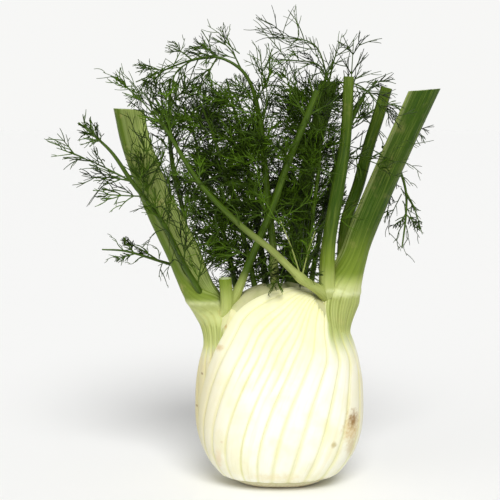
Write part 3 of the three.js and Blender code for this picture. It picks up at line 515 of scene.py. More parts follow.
# ---------------------------------------------------------------- fronds
# stem: rows of x, y, z, radius. A limb is the index of the stem's knot that it grows from, its tip's x, y, z,
# and how far its middle bows up and to the right. bare is the share of the stem below its first spray, size
# scales a frond's leaflets, full is the share of its threads that are there, and fill is how far apart finer
# sprays stand on the stem. The stem is green above pale_to, limb_green is how green its low limbs are, and
# knob is how much it swells where those leave.
COMMON = dict(bare=0.15, size=1.0, full=0.75, fill=0, pale_to=112, limb_green=1.0, knob=0)
FRONDS = dict(
    frond_arch=dict(
        stem=[(-2, 5, 104, 2), (-2.4, 2, 117, 2.3), (-3.4, -2, 136, 2.1), (-7, -5, 169, 1.7),
              (-10, -6, 199, 1.5), (-14, -6, 220, 1.1), (-20.7, -6, 232.4, 0.9), (-34, -5, 239.5, 0.7),
              (-48, -4, 238, 0.55), (-67, -3, 231, 0.42), (-79, -3, 226, 0.3)],
        bare=0.12, fill=9, pale_to=156,
        limbs=[(3, -31, -17, 199, 3, 0), (4, -34, -13, 219, 3, 0), (4, -12, -14, 238, 2, 4),
               (6, -36, -7, 250, 3, 1), (7, -46, -9, 218, 4, 2), (8, -60, -8, 213, 5, -3),
               (9, -76, -6, 212, 4, -3), (8, -62, -6, 246, 0, 2)]),
    frond_top=dict(
        stem=[(7, 10, 104, 3.6), (9, 10, 127, 4), (11.8, 10, 155, 4), (17.9, 11, 183, 4.4),
              (22.7, 11, 202, 4.6), (28, 11, 226, 5.2)],
        bare=0.2, full=0.55, fill=10,
        limbs=[(5, -6, 4, 250, 9, 8), (5, 4, 3, 238, 4, 5), (5, 33, 2, 246, 2, 0), (4, 0, -2, 232, 4, 0),
               (3, 2, 22, 214, 4, 0), (5, 60, -14, 208, 7, 0)]),
    frond_straight=dict(
        stem=[(-31, -5, 98, 1.8), (-26, -6, 104, 2.1), (-15.7, -9, 129, 2.1), (-4.8, -12, 155.4, 2),
              (5, -13, 183.4, 1.9), (14.3, -13, 206, 1.8), (20.2, -13, 221.5, 1.7)],
        bare=0.3, size=0.9, full=0.6, pale_to=130,
        limbs=[(2, -37, -16, 136, 3, 0), (4, -16, -24, 200, 2, 0), (5, 0, -24, 226, 2, 0)]),
    frond_diagonal=dict(
        stem=[(26, -6, 107, 2.4), (21.8, -12, 112, 2.4), (12, -17, 119, 2.2), (-4.3, -21, 135, 1.8),
              (-21.8, -24, 149.5, 1.6), (-43.2, -26, 172, 1.3), (-57.5, -26, 195, 1),
              (-64, -26, 206, 0.5), (-71, -25, 217, 0.3)],
        bare=0.5, size=0.6, full=0.5, pale_to=178, limb_green=0.25, knob=0.3,
        limbs=[(2, 0, -24, 152, 2, 0), (2, 19, -25, 146, 2, 0), (6, -88, -24, 228, 3, 0),
               (6, -60, -27, 224, 0, -2)]),
    frond_centre=dict(
        stem=[(-12, 4, 104, 1.4), (-17, 3, 128, 1.4), (-23, 2, 152, 1.2), (-30, 0, 176, 1),
              (-37, -2, 198, 0.8), (-44, -4, 216, 0.5)],
        bare=0.12, fill=8,
        limbs=[(1, -42, -8, 140, 3, 0), (2, -2, -4, 172, 2, 0), (2, -48, -6, 164, 3, 0),
               (3, -12, -6, 202, 2, 0), (3, -52, -10, 186, 3, 0)]),
    frond_centre_right=dict(
        stem=[(14, 5, 103, 1.4), (16, 1, 130, 1.4), (19, -2, 155, 1.2), (22, -3, 180, 1),
              (22, -2, 205, 0.8), (16, -4, 228, 0.5)],
        bare=0.12, fill=8,
        limbs=[(1, 2, -12, 148, 2, 0), (2, 6, -14, 176, 2, 0), (3, 4, -8, 206, 2, 0),
               (2, 26, -4, 172, 1, 0)]),
    frond_back=dict(
        stem=[(-6, 16, 102, 1.8), (-9, 21, 125, 1.8), (-13, 27, 150, 1.6), (-18, 33, 178, 1.3),
              (-24, 37, 205, 0.9), (-30, 38, 228, 0.5)],
        fill=8,
        limbs=[(1, -32, 40, 150, 4, 0), (2, 8, 44, 176, 4, 0), (2, -38, 40, 178, 4, 0),
               (3, 2, 46, 204, 4, 0), (3, -46, 44, 208, 4, 0)]),
    frond_back_right=dict(
        stem=[(12, 17, 101, 1.8), (15, 26, 128, 1.8), (18, 33, 155, 1.6), (21, 37, 182, 1.2),
              (25, 40, 208, 0.8), (28, 41, 228, 0.5)],
        fill=9,
        limbs=[(1, 30, 46, 150, 4, 0), (2, 0, 48, 172, 4, 0), (2, 42, 42, 180, 4, 0),
               (3, 6, 50, 210, 4, 0)]),
    frond_back_left=dict(
        stem=[(-22, 12, 99, 1.5), (-27, 18, 122, 1.5), (-34, 24, 148, 1.2), (-41, 28, 172, 1),
              (-48, 30, 194, 0.7), (-55, 31, 214, 0.4)],
        fill=10,
        limbs=[(1, -50, 32, 142, 4, 0), (2, -24, 20, 172, 4, 0), (2, -62, 32, 168, 4, 0),
               (3, -34, 22, 204, 4, 0)]),
    frond_left_back=dict(
        stem=[(-35, 6, 99, 1.2), (-43, 13, 115, 1.3), (-50, 13.5, 130, 1.3), (-54.5, 12, 155, 1.3),
              (-59, 10, 175, 1.3), (-61.2, 9, 195, 1.1), (-61, 8, 228, 0.6)],
        bare=0.3, size=0.9, full=0.6,
        limbs=[(3, -36, 8, 172, 3, 0), (4, -46, 4, 204, 2, 0), (5, -50, 6, 226, 2, 0),
               (5, -72, 12, 222, 2, 0)]),
    frond_left=dict(
        stem=[(-43, -4, 107, 1.4), (-45.5, -10, 113, 1.5), (-52.6, -12.5, 126, 1.5),
              (-62.3, -13, 146.2, 1.4), (-72.2, -13, 160.7, 1.3), (-81, -12, 172, 1.2),
              (-91.5, -11, 187.4, 0.9), (-102, -10, 197.5, 0.6), (-110, -9, 204, 0.4)],
        bare=0.35, size=0.8, full=0.7,
        limbs=[(5, -119, -8, 189, 1, 0), (5, -101, -12, 174, 1, 0), (4, -72, -21, 196, 2, 0),
               (3, -62, -22, 180, 2, 3), (2, -50, -23, 160, 2, 0), (1, -40, -20, 140, 2, 0),
               (3, -74, -22, 172, 0, 0)]),
    frond_left_low=dict(
        stem=[(-43, 6, 105, 0.9), (-50, 14, 113, 1), (-58, 14, 121, 0.9), (-68, 12, 125, 0.8),
              (-87, 9, 131, 0.6), (-100, 8, 132, 0.4)],
        bare=0.35, size=0.4, full=0.5,
        limbs=[(3, -90, 12, 137, 1, 0)]),
    frond_right=dict(
        stem=[(58.5, 13, 190, 0.8), (62, 15, 186, 0.9), (68.5, 16, 177, 0.8), (72.5, 16, 164, 0.7),
              (72.5, 15, 150, 0.6), (70.5, 14, 132, 0.4)],
        bare=0.25, size=0.45, full=0.4,
        limbs=[(3, 82, 14, 140, 3, 0), (2, 61, 18, 146, 3, 0)]),
    frond_right_top=dict(
        stem=[(17, 11, 102, 1.4), (22, 17, 130, 1.5), (28, 19, 160, 1.5), (34, 20, 183, 1.5),
              (40, 21, 201, 1.4), (48.7, 21, 219, 1.1)],
        bare=0.25, size=0.7, full=0.5,
        limbs=[(2, 40, 32, 186, 3, 0), (3, 52, 32, 214, 3, 0), (4, 42, 16, 250, 2, 0),
               (5, 63, 19, 227, 3, 0), (4, 81, 22, 190, 18, 4), (3, 58, -16, 180, 2, 0)]))
FRONDS = {name: {**COMMON, **frond} for name, frond in FRONDS.items()}
# sprays stand every so far along a stem, lean out from it and roll on round it, with pairs of leaflets
SPRAY = dict(every=34, length=26, lean=46, roll=75, radius=0.45, pairs=3)
NEEDLE = dict(length=24, lean=26, radius=0.32, full_at=40)
LIMB = dict(radius=0.5, pair_every=11)
FACE = unit(np.array([0.3, -1.0, 0.2]))  # the way that the leaflets' flat side faces
KEEP_OFF = 0.45  # the least gap between the solids of two nodes
MASS = dict(left=-66, right=33, top=222)  # the fronds are dense inside these planes
SEED = 500  # the first frond's seed
STEM_POINTS, LIMB_POINTS, SPRAY_POINTS = 72, 22, 12
STEM_SIDES, THICK_STEM_SIDES = 14, 28
FOOT = dict(swell=0.35, from_z=104, to_z=122, green_from=108)  # a stem is thicker and paler at its foot
KNOB_HEIGHT, KNOB_SPREAD = 119.5, 2
TIP, FILL_SPRAY = 0.22, (0.42, 0.2)  # radii: a limb's or spray's tip, and a finer spray's root and tip
DROOP = np.array([0, 0, 0.12])
SKIN_GAP, STEM_GAP = 0.4, 0.2  # the least gaps from a thread to the bulb and to a stem


class Room:
    """The space that the pieces take, as lines with a radius and an owner."""

    def __init__(self, most=9000):
        self.a, self.b = np.zeros((most, 3)), np.zeros((most, 3))
        self.radius, self.owner, self.used = np.zeros(most), np.zeros(most, int), 0

    def take(self, owner, points, radii):
        for a, b, *ends in zip(points, points[1:], radii, radii[1:]):
            n, self.used = self.used, self.used + 1
            self.a[n], self.b[n], self.radius[n], self.owner[n] = a, b, max(ends), owner

    def free(self, owner, a, b, radius):
        """Whether a line from a to b keeps off the bulb and off every other owner's lines."""
        if off_skin(b) <= 1:
            return False
        n = self.used
        u, v, w = b - a, self.b[:n] - self.a[:n], a - self.a[:n]
        uu, uv, vv, uw, vw = u @ u, v @ u, (v * v).sum(1), w @ u, (v * w).sum(1)
        spread = uu * vv - uv * uv
        s0 = np.where(spread < 1e-9, 0, np.clip((uv * vw - vv * uw) / np.where(spread < 1e-9, 1, spread), 0, 1))
        t = np.clip((uv * s0 + vw) / vv, 0, 1)
        s = np.clip((uv * t - uw) / uu, 0, 1)
        gap = np.linalg.norm(w + u * s[:, None] - v * t[:, None], axis=1)
        return bool(np.all((self.owner[:n] == owner) | (gap > radius + self.radius[:n] + KEEP_OFF)))


ROOM = Room()
SOLID_LINES = []  # what no thread may enter: the owner, both ends and the radius
STALK_ROOM = 8.6  # how far threads keep from the middle of a leaf's stalk
THICK_STEM = 1.2  # only stems thicker than this keep threads out
FIRST_FROND = 100  # the owner number of the first frond: the leaves are 0 and 1, and their side stalks 2


def stand(owner, knots, radius=None, thicker_than=0.0):
    """Marks the room of a stalk or stem, rows of x, y, z, radius."""
    knots = np.array(knots, float)
    ROOM.take(owner, knots[:, :3], knots[:, 3])
    for a, b in zip(knots, knots[1:]):
        if a[3] > thicker_than:
            SOLID_LINES.append((owner, a[:3], b[:3], radius or a[3]))


def place_on(line, share):
    """The place and direction at a share of the way along a line of evenly spaced points."""
    at = share * (len(line) - 1)
    i = min(int(at), len(line) - 2)
    return mix(line[i], line[i + 1], at - i), unit(line[i + 1] - line[i])


def limb_stalk(frond, limb):
    """A limb's root, middle and tip."""
    index, x, y, z, rise, aside = limb
    root, tip = np.array(frond["stem"][index][:3], float), np.array([x, y, z], float)
    return [root, (root + tip) / 2 + np.array([aside, 0, rise]), tip]


def leaflet_size(stalk):
    """Short stalks carry short leaflets."""
    return min(1.0, max(0.45, np.linalg.norm(stalk[2] - stalk[0]) / NEEDLE["full_at"]))


def needles_on(owner, stalk, pairs, size, keys):
    """The main leaflets of a spray or limb, as (share of the stalk, foot, tip), in opposite pairs."""
    size = size * leaflet_size(stalk)
    ahead = unit(stalk[2] - stalk[0])
    across = unit(turned(np.cross(ahead, FACE), ahead, 0.8 * jitter(*keys, 4)))
    over = np.cross(ahead, across)
    found = []
    for pair in range(pairs):
        start = (pair + 0.75) / (pairs + 0.55)
        foot = place_on(stalk, start)[0]
        for k in range(3):
            angle = (150 + 60 * pair + 120 * k) * DEGREE
            if abs(math.cos(angle)) <= 0.5:
                continue
            outwards = leaning(across, over, angle)
            length = size * NEEDLE["length"] * (1 - 0.4 * start) * (1 + 0.25 * jitter(*keys, pair, k))
            for attempt in range(5):
                lean = (NEEDLE["lean"] + 8 * jitter(*keys, pair, k, attempt)) * DEGREE
                end = foot + ahead * length * math.cos(lean)
                end = end + outwards * length * math.sin(lean) * (1 - 0.15 * attempt)
                if ROOM.free(owner, foot, end, NEEDLE["radius"]):
                    ROOM.take(owner, [foot, end], [NEEDLE["radius"]] * 2)
                    found.append((start, foot, end))
                    break
    return found


def spray_stalk(owner, root, forward, outward, length, keys):
    """A spray's stalk, turned on round the stem until it is clear of everything else."""
    radius = SPRAY["radius"]
    lean = (SPRAY["lean"] + 12 * jitter(*keys, 1)) * DEGREE
    for attempt in range(10):
        ahead = leaning(forward, turned(outward, forward, attempt * 0.63), lean)
        middle = root + ahead * length / 2 + forward * 1.2 * jitter(*keys, 2)
        tip = root + ahead * length + forward * 3 * jitter(*keys, 3)
        if ROOM.free(owner, root, middle, radius) and ROOM.free(owner, middle, tip, radius):
            ROOM.take(owner, [root, middle, tip], [radius] * 3)
            return [root, middle, tip]
    return None


def sprays_on(owner, frond, key):
    """The sprays along a stem, each with its needles: opposite pairs that roll on round the stem."""
    points = np.array(frond["stem"], float)[:, :3]
    at, bare, sprays = walked(points), frond["bare"], []
    count = max(1, math.floor(at[-1] * (1 - bare) / SPRAY["every"] + 0.5))
    for k in range(count):
        way_up = at[-1] * (bare + (1 - bare) * (k + 0.7) / (count + 0.2))
        i = np.searchsorted(at[1:-1], way_up)
        forward = unit(points[i + 1] - points[i])
        foot = points[i] + forward * (way_up - at[i])
        level = unit(np.cross(forward, FACE))
        roll = (k * SPRAY["roll"] + 30 * jitter(key, k)) * DEGREE
        length = frond["size"] * SPRAY["length"] * (1 - 0.45 * (k / count)) * (1 + 0.15 * jitter(key, k, 1))
        for way in BOTH_WAYS:
            keys = (key, k, way)
            stalk = spray_stalk(owner, foot, forward, turned(level, forward, roll + way), length, keys)
            if stalk:
                sprays.append((stalk, needles_on(owner, stalk, SPRAY["pairs"], frond["size"], keys)))
    return sprays


# ---- threads: many thin curved strands at once, as arrays with a strand on each row
def sweep(roots, first, last, lengths, count):
    """Curved strands that leave their roots along first and end along last: count points each."""
    t = np.linspace(0, 1, count)[:, None]
    run = first[:, None] * (t - t**2 / 2) + last[:, None] * t**2 / 2
    return roots[:, None] + run * lengths[:, None, None]


def read_along(lines, share):
    """The places and directions at a share of each strand's way."""
    at = np.clip(share, 0, 0.999) * (lines.shape[1] - 1)
    i, row = at.astype(int), np.arange(len(lines))
    a, b = lines[row, i], lines[row, i + 1]
    return mix(a, b, (at - i)[:, None]), unit(b - a)


def strands(shape, points, root_radius, tip_radius, tone):
    """Three-sided tapered tubes along the strands."""
    if not len(points):
        return
    n, count = points.shape[:2]
    along = unit(np.gradient(points, axis=1))
    helper = np.where(np.abs(along[:, :1, 2:]) > 0.8, np.array([1.0, 0, 0]), np.array([0, 0, 1.0]))
    across = unit(np.cross(along, helper))
    turn = np.arange(3)[:, None] * 2 * math.pi / 3
    ring = leaning(across[:, :, None], np.cross(along, across)[:, :, None], turn)
    radius = mix(root_radius, tip_radius, np.linspace(0, 1, count) ** 1.5)[:, None, None]
    first_corner = (np.arange(n) * count * 3)[:, None]
    sides = (grid_faces(count, 3, closed=True, flip=True) + first_corner[..., None]).reshape(-1, 4)
    shape.add(points[:, :, None] + ring * radius, [sides, first_corner + (count - 1) * 3 + np.arange(3)],
              tone=tone[:, None, None])


def outside(points, owner):
    """Which strands of a frond keep clear of the bulb and of other thick stems, apart from their roots."""
    p = points[:, 1:]
    clear = np.all(off_skin(p) > SKIN_GAP, axis=1)
    for other, a, b, radius in SOLID_LINES:
        if other != owner:
            along = b - a
            t = np.clip(((p - a) @ along) / (along @ along), 0, 1)
            gap = np.linalg.norm(p - a - t[..., None] * along, axis=-1) - radius
            clear &= np.all(gap > STEM_GAP, axis=1)
    return clear


def in_mass(place):
    """Whether a place lies where the fronds are dense."""
    return MASS["left"] < place[0] < MASS["right"] and place[2] < MASS["top"]


def fill_sprays(owner, frond, draw):
    """The finer sprays between the main ones: they lean out low on the stem and rise with it further up."""
    if not frond["fill"]:
        return
    count = int(walked(np.array(frond["stem"], float)[:, :3])[-1] * 0.92 / frond["fill"])
    for k in range(count):
        t = 0.02 + 0.94 * ((k + 0.5 + 0.3 * draw.uniform(-1, 1)) / count) ** 1.25
        here, ahead = through(frond["stem"], [t, min(t + 0.01, 1.0)])[:, :3]
        forward = unit(ahead - here)
        level = unit(np.cross(forward, FACE))
        roll = k * 2.1 + draw.uniform(-0.4, 0.4)
        for way in BOTH_WAYS:
            side = turned(level, forward, roll + way)
            lean = mix(84, 56, t) * DEGREE * draw.uniform(0.85, 1.15)
            size = draw.uniform(18, 30) * (1 - 0.3 * t)
            last = unit(forward * 0.45 + side * 0.8 + draw.normal(size=3) * 0.3)
            first = leaning(forward, side, lean)
            stalk = sweep(here[None], first[None], last[None], np.array([size]), SPRAY_POINTS)
            if in_mass(stalk[0, -1]) and outside(stalk, owner)[0]:
                yield stalk[0]


def branchlets(curve, pairs, size, draw):
    """Leaflets in opposite pairs along a stalk's curve: their roots, first and last directions and lengths."""
    ahead = unit(curve[-1] - curve[0])
    across = unit(turned(np.cross(ahead, FACE), ahead, 0.8 * draw.uniform(-1, 1)))
    for pair in range(pairs):
        t = 0.06 + 0.86 * (pair + 0.5 + 0.25 * draw.uniform(-1, 1)) / pairs
        i = min(int(t * (len(curve) - 1)), len(curve) - 2)
        forward = unit(curve[i + 1] - curve[i])
        flat = unit(across - forward * (across @ forward))
        for way in BOTH_WAYS:
            side = turned(flat, forward, pair * 1.05 + way + 0.35 * draw.uniform(-1, 1))
            length = size * NEEDLE["length"] * (0.9 - 0.4 * t) * draw.uniform(0.75, 1.15)
            lean, close = draw.uniform(36, 60) * DEGREE, draw.uniform(0, 24) * DEGREE
            yield curve[i], leaning(forward, side, lean), leaning(forward, side, close), length


def main_leaflets(curve, found):
    """The main needles as curved leaflets from the stalk's curve to each needle's tip."""
    for start, _, end in found:
        root, forward = place_on(curve, start)
        length = np.linalg.norm(end - root)
        way = (end - root) / length
        out = way - forward * (way @ forward)
        yield root, unit(way + 0.5 * out), unit(way - 0.5 * out), length * 1.02


def frond_shape(name, frond, index):
    """A frond: its stem, its limbs and sprays with their leaflets, and the threads on those."""
    shape, draw, owner = Shape(), np.random.default_rng(SEED + index), FIRST_FROND + index
    fill, size = frond["fill"], frond["size"]
    stem = through(frond["stem"], np.linspace(0, 1, STEM_POINTS))
    z = stem[:, 2]
    sides = STEM_SIDES if stem[0, 3] < 3 else THICK_STEM_SIDES
    foot = FOOT["swell"] * (1 - step(FOOT["from_z"], FOOT["to_z"], z))
    radii = stem[:, 3] * (1 + foot + frond["knob"] * bump(KNOB_HEIGHT, KNOB_SPREAD, z))
    tube(shape, stem[:, :3], radii, sides, ribs=sides // 3, rib_height=0.05, tone=0.62, thick=1.0,
         green=0.25 + 0.75 * step(FOOT["green_from"], frond["pale_to"], z), pithy=float(stem[-1, 3] > 1.5))

    def stalk(curve, radius, sides, green, thick, tip=TIP):
        radii = np.linspace(radius, tip, len(curve))
        tube(shape, curve, radii, sides, cut=False, green=green, tone=0.5, thick=thick)

    rows = []
    for i, limb in enumerate(frond["limbs"]):
        line = limb_stalk(frond, limb)
        curve = through(line, np.linspace(0, 1, LIMB_POINTS))
        green = frond["limb_green"] if limb[3] < 160 else 1.0
        stalk(curve, min(LIMB["radius"] * 1.15, frond["stem"][limb[0]][3]), 6, green, 0.8)
        pairs = math.floor(np.linalg.norm(line[2] - line[0]) / LIMB["pair_every"] + 0.5)
        rows += main_leaflets(curve, needles_on(owner, line, pairs, size, (index, i)))
        if fill and in_mass(curve[-1]):
            rows += branchlets(curve, pairs, size * leaflet_size(line), draw)
    for line, found in sprays_on(owner, frond, index):
        curve = through(line, np.linspace(0, 1, SPRAY_POINTS))
        stalk(curve, SPRAY["radius"] * 1.1, 5, 1.0, 0.6)
        rows += main_leaflets(curve, found)
        if fill and in_mass(curve[-1]):
            rows += branchlets(curve, 2, size * 0.8, draw)
    for curve in list(fill_sprays(owner, frond, draw)):
        stalk(curve, FILL_SPRAY[0], 4, 1.0, 0.5, tip=FILL_SPRAY[1])
        rows += branchlets(curve, 3, 0.8, draw)
    grow_threads(shape, owner, *(np.array(column) for column in zip(*rows)), frond, draw)
    for y, tone, *knots in LOOSE.get(name, []):
        loose_thread(shape, owner, y, tone, knots, draw)
    return shape


# radii at root and tip
LEAFLET, THREAD, FORK = (0.34, 0.17), (0.26, 0.15), (0.21, 0.14)
LONG_THREAD, LONG_FORK = (0.36, 0.16), (0.24, 0.14)
LONE = 1.22  # fronds outside the dense mass have thicker threads
FORKS = ((0.25, 0.45, 0.75), (0.55, 0.75, 0.45))  # between which shares of a thread each leaves, and how often


def grow_threads(shape, owner, roots, first, last, lengths, frond, draw):
    """Each leaflet is a curved branchlet that carries long threads on both sides, most of them forked."""
    n, heavy = len(roots), 1.0 if frond["fill"] else LONE

    def grow(lines, radii, tone):
        strands(shape, lines, radii[0] * heavy, radii[1] * heavy, tone)

    first = unit(first + draw.normal(size=(n, 3)) * 0.08)
    last = unit(last + draw.normal(size=(n, 3)) * 0.3 - DROOP)
    main = sweep(roots, first, last, lengths, 7)
    keep = outside(main, owner)
    main, lengths, n = main[keep], lengths[keep], keep.sum()
    helper = unit(np.cross(unit(main[:, -1] - main[:, 0]), unit(draw.normal(size=(n, 3)))))
    # painted shade: besides their random tone, threads further back in the mass get a darker tone and those at
    # the front a lighter one
    tone_with_depth_shade = draw.uniform(0.0, 0.8, n) * mix(1.0, 0.35, step(-16, 14, main[:, 3, 1])) + 0.08
    grow(main, LEAFLET, tone_with_depth_shade)
    for pair, t in enumerate((0.16, 0.4, 0.66)):
        for way in BOTH_WAYS:
            foot, forward = read_along(main, t + draw.uniform(-0.1, 0.1, n))
            flat = unit(helper - forward * (helper * forward).sum(1, keepdims=True))
            roll = pair * 1.3 + way + draw.uniform(-0.8, 0.8, (n, 1))
            side = leaning(flat, np.cross(forward, flat), roll)
            lean, close = draw.uniform(24, 52, (n, 1)) * DEGREE, draw.uniform(-30, 58, (n, 1)) * DEGREE
            size = np.minimum(lengths, 21) * (0.92 - 0.42 * t) * draw.uniform(0.65, 1.3, n)
            end = unit(leaning(forward, side, close) + draw.normal(size=(n, 3)) * 0.25 - DROOP)
            thread = sweep(foot, leaning(forward, side, lean), end, size, 6)
            fine = outside(thread, owner) & (draw.uniform(size=n) < frond["full"]) & (size > 1.6)
            tone = np.clip(tone_with_depth_shade + draw.uniform(-0.2, 0.25, n), 0, 1)
            grow(thread[fine], THREAD, tone[fine])
            for low, high, share in FORKS:
                foot, tangent = read_along(thread, draw.uniform(low, high, n))
                aside = unit(np.cross(tangent, draw.normal(size=(n, 3))))
                spread = draw.uniform(20, 40, (n, 1)) * DEGREE
                fork = sweep(foot, leaning(tangent, aside, spread),
                             unit(tangent + draw.uniform(-0.2, 0.9, (n, 1)) * aside),
                             size * (1.05 - high) * draw.uniform(0.6, 1.0, n), 4)
                forked = fine & outside(fork, owner) & (draw.uniform(size=n) < share) & (size > 3.5)
                grow(fork[forked], FORK, tone[forked])


# Long single threads that stand out, read in the photo: their y in mm, how light they are, and the
# column and row of the photo's 500-pixel frame that each passes. A pixel is PIXEL mm, column PIXEL_MIDDLE is
# at x 0 and row PIXEL_FLOOR at z 0.
PIXEL, PIXEL_MIDDLE, PIXEL_FLOOR = 0.56, 279, 487
LOOSE = {
    "frond_diagonal": [
        (-26, 0.75, (282, 222), (275, 215), (262, 193), (258, 190)),
        (-26, 0.7, (275, 215), (290, 208), (303, 199), (311, 189)),
        (-26, 0.6, (262, 193), (258, 176), (256, 160), (245, 148)),
        (-27, 0.4, (240, 220), (236, 205), (226, 196), (222, 184)),
        (-28, 0.35, (202, 180), (215, 176), (228, 182), (239, 178)),
        (-28, 0.3, (202, 180), (196, 190), (198, 204), (191, 216)),
        (-25, 0.4, (222, 199), (216, 212), (220, 226), (213, 238)),
    ],
    "frond_straight": [
        (-16, 0.5, (296, 140), (285, 150), (270, 152), (258, 161)),
        (-16, 0.45, (304, 119), (315, 130), (328, 128), (339, 135)),
        (-16, 0.4, (287, 160), (300, 168), (316, 166), (331, 173)),
        (-16, 0.5, (273, 200), (262, 211), (250, 215), (240, 227)),
        (-15, 0.35, (262, 224), (275, 232), (290, 230), (301, 239)),
        (-16, 0.4, (281, 178), (272, 170), (262, 176), (250, 172)),
    ],
    "frond_left": [
        (-21, 0.25, (147, 175), (138.7, 166), (135.2, 153.6), (138, 136)),
        (-21, 0.15, (147, 175), (153, 166), (161.8, 153.6), (165.4, 139)),
        (-20, 0.2, (147, 175), (155, 170), (165, 167), (176, 170)),
        (-15, 0.1, (163, 219.5), (168, 208), (174, 212), (171.5, 217), (177, 220)),
        (-16, 0.2, (155, 207), (163, 204), (174, 216), (181.4, 233.5)),
        (-16, 0.25, (167.8, 226.3), (173, 234), (179.6, 251.3), (188.5, 265.5)),
        (-15, 0.2, (167.8, 226.3), (158, 229), (152, 236), (149, 246)),
        (-16, 0.3, (176, 244), (183, 240), (190.3, 249.5), (193.8, 262)),
        (-20, 0.2, (150.4, 137), (158, 146), (164, 150), (170, 159)),
        (-20, 0.15, (150.4, 137), (141, 133), (136, 122), (131.6, 112.8)),
        (-20, 0.3, (150.4, 137), (147, 128), (150, 118), (146, 108)),
        (-21, 0.2, (168.3, 179), (160, 176), (150, 184), (143, 195)),
        (-21, 0.2, (168.3, 179), (172, 188), (168, 198), (172, 209)),
        (-16, 0.2, (185, 262), (176, 256), (171, 262), (168, 273)),
    ],
    "frond_left_low": [
        (10, 0.5, (147.6, 257.5), (141, 249.5), (135.2, 247), (128, 248)),
        (9, 0.4, (141, 250), (144, 246), (149, 243)),
        (8, 0.5, (133.4, 255.7), (122, 259), (113, 258.4), (104, 262)),
        (8, 0.5, (122.8, 252.5), (117, 247), (113.9, 241), (108, 238)),
        (9, 0.4, (147.6, 257.5), (137, 261), (131, 266), (126.3, 266.4)),
        (9, 0.5, (158.3, 261), (157, 252), (150, 247), (146, 247)),
        (10, 0.3, (161.8, 264), (159, 272), (157.4, 280)),
        (10, 0.3, (159, 272), (163, 280), (166, 289)),
    ],
    "frond_right": [
        (15, 0.3, (404, 196), (396, 212), (391, 226), (392, 238)),
        (15, 0.3, (405, 203), (413, 217), (418, 232), (423, 241)),
        (15, 0.25, (403, 190), (412, 203), (418, 214), (420, 226)),
        (15, 0.3, (408, 224), (402, 234), (400, 244), (402, 254)),
        (15, 0.3, (409, 228), (411, 240), (407, 250), (410, 259)),
        (15, 0.3, (396, 212), (390, 216), (386, 224)),
    ],
    "frond_right_top": [
        (-15, 0.35, (382.6, 165.6), (388, 152), (401.8, 140), (414, 146)),
        (-15, 0.3, (382.6, 165.6), (392, 160), (405, 163), (417, 172)),
        (-15, 0.3, (382.6, 165.6), (378, 154), (368, 149), (359, 152)),
        (-15, 0.3, (382.6, 165.6), (389, 173), (401, 176), (409, 184)),
    ],
    "frond_arch": [
        (-4, 0.5, (141.7, 95), (130, 89), (120, 80), (106.4, 74)),
        (-4, 0.5, (146, 104), (141, 92), (133, 82), (125, 74)),
        (-5, 0.5, (158, 84), (166, 70), (178, 65), (189, 61)),
        (-5, 0.5, (174, 70), (179, 60), (184, 50), (186.7, 41)),
        (-6, 0.5, (240, 56), (230, 48), (222, 38), (209, 29)),
        (-6, 0.5, (230, 48), (228, 40), (231, 32)),
        (-12, 0.3, (200, 62), (195, 72), (190, 86), (183, 97)),
        (-12, 0.3, (190, 63), (186, 76), (178, 88), (174, 101)),
    ],
    "frond_top": [
        (3, 0.5, (290, 48), (298, 38), (296, 26), (292.6, 13)),
        (3, 0.4, (285, 60), (275, 47), (262, 33), (255, 29)),
        (3, 0.4, (322, 84), (330, 68), (337, 50), (341, 36)),
    ],
}


def loose_thread(shape, owner, y, tone, knots, draw):
    """A long thread that swings along its knots and carries a few finer ones."""
    points = np.array([((column - PIXEL_MIDDLE) * PIXEL, y + draw.uniform(-1, 1) * (i > 0),
                        (PIXEL_FLOOR - row) * PIXEL) for i, (column, row) in enumerate(knots)])
    path = through(points, np.linspace(0, 1, 18))[None]
    strands(shape, path, *LONG_THREAD, np.array([tone]))
    size = walked(path[0])[-1]
    n = int(size / 4)
    share = np.linspace(0.12, 0.9, n) + draw.uniform(-0.06, 0.06, n)
    foot, forward = read_along(np.repeat(path, n, axis=0), share)
    flat = unit(np.cross(forward, np.array([0, 1.0, 0]) + draw.normal(size=(n, 3)) * 0.4))
    side = flat * np.where(np.arange(n) % 2, 1, -1)[:, None]
    first = leaning(forward, side, draw.uniform(25, 50, (n, 1)) * DEGREE)
    last = unit(forward + side * draw.uniform(-0.3, 0.8, (n, 1)) + draw.normal(size=(n, 3)) * 0.2)
    fork = sweep(foot, first, last, size * draw.uniform(0.2, 0.42, n), 6)
    clear = outside(fork, owner)
    fork_tone = np.clip(tone + draw.uniform(-0.15, 0.2, n), 0, 1)
    strands(shape, fork[clear], *LONG_FORK, fork_tone[clear])


# ---------------------------------------------------------------- materials
def colour(red, green, blue):
    """A screen colour of 0 to 255 as the linear numbers that shaders take."""
    screen = (red / 255, green / 255, blue / 255)
    return (*(part / 12.92 if part <= 0.04045 else ((part + 0.055) / 1.055) ** 2.4 for part in screen), 1.0)


def grey(share):
    return (share, share, share, 1.0)


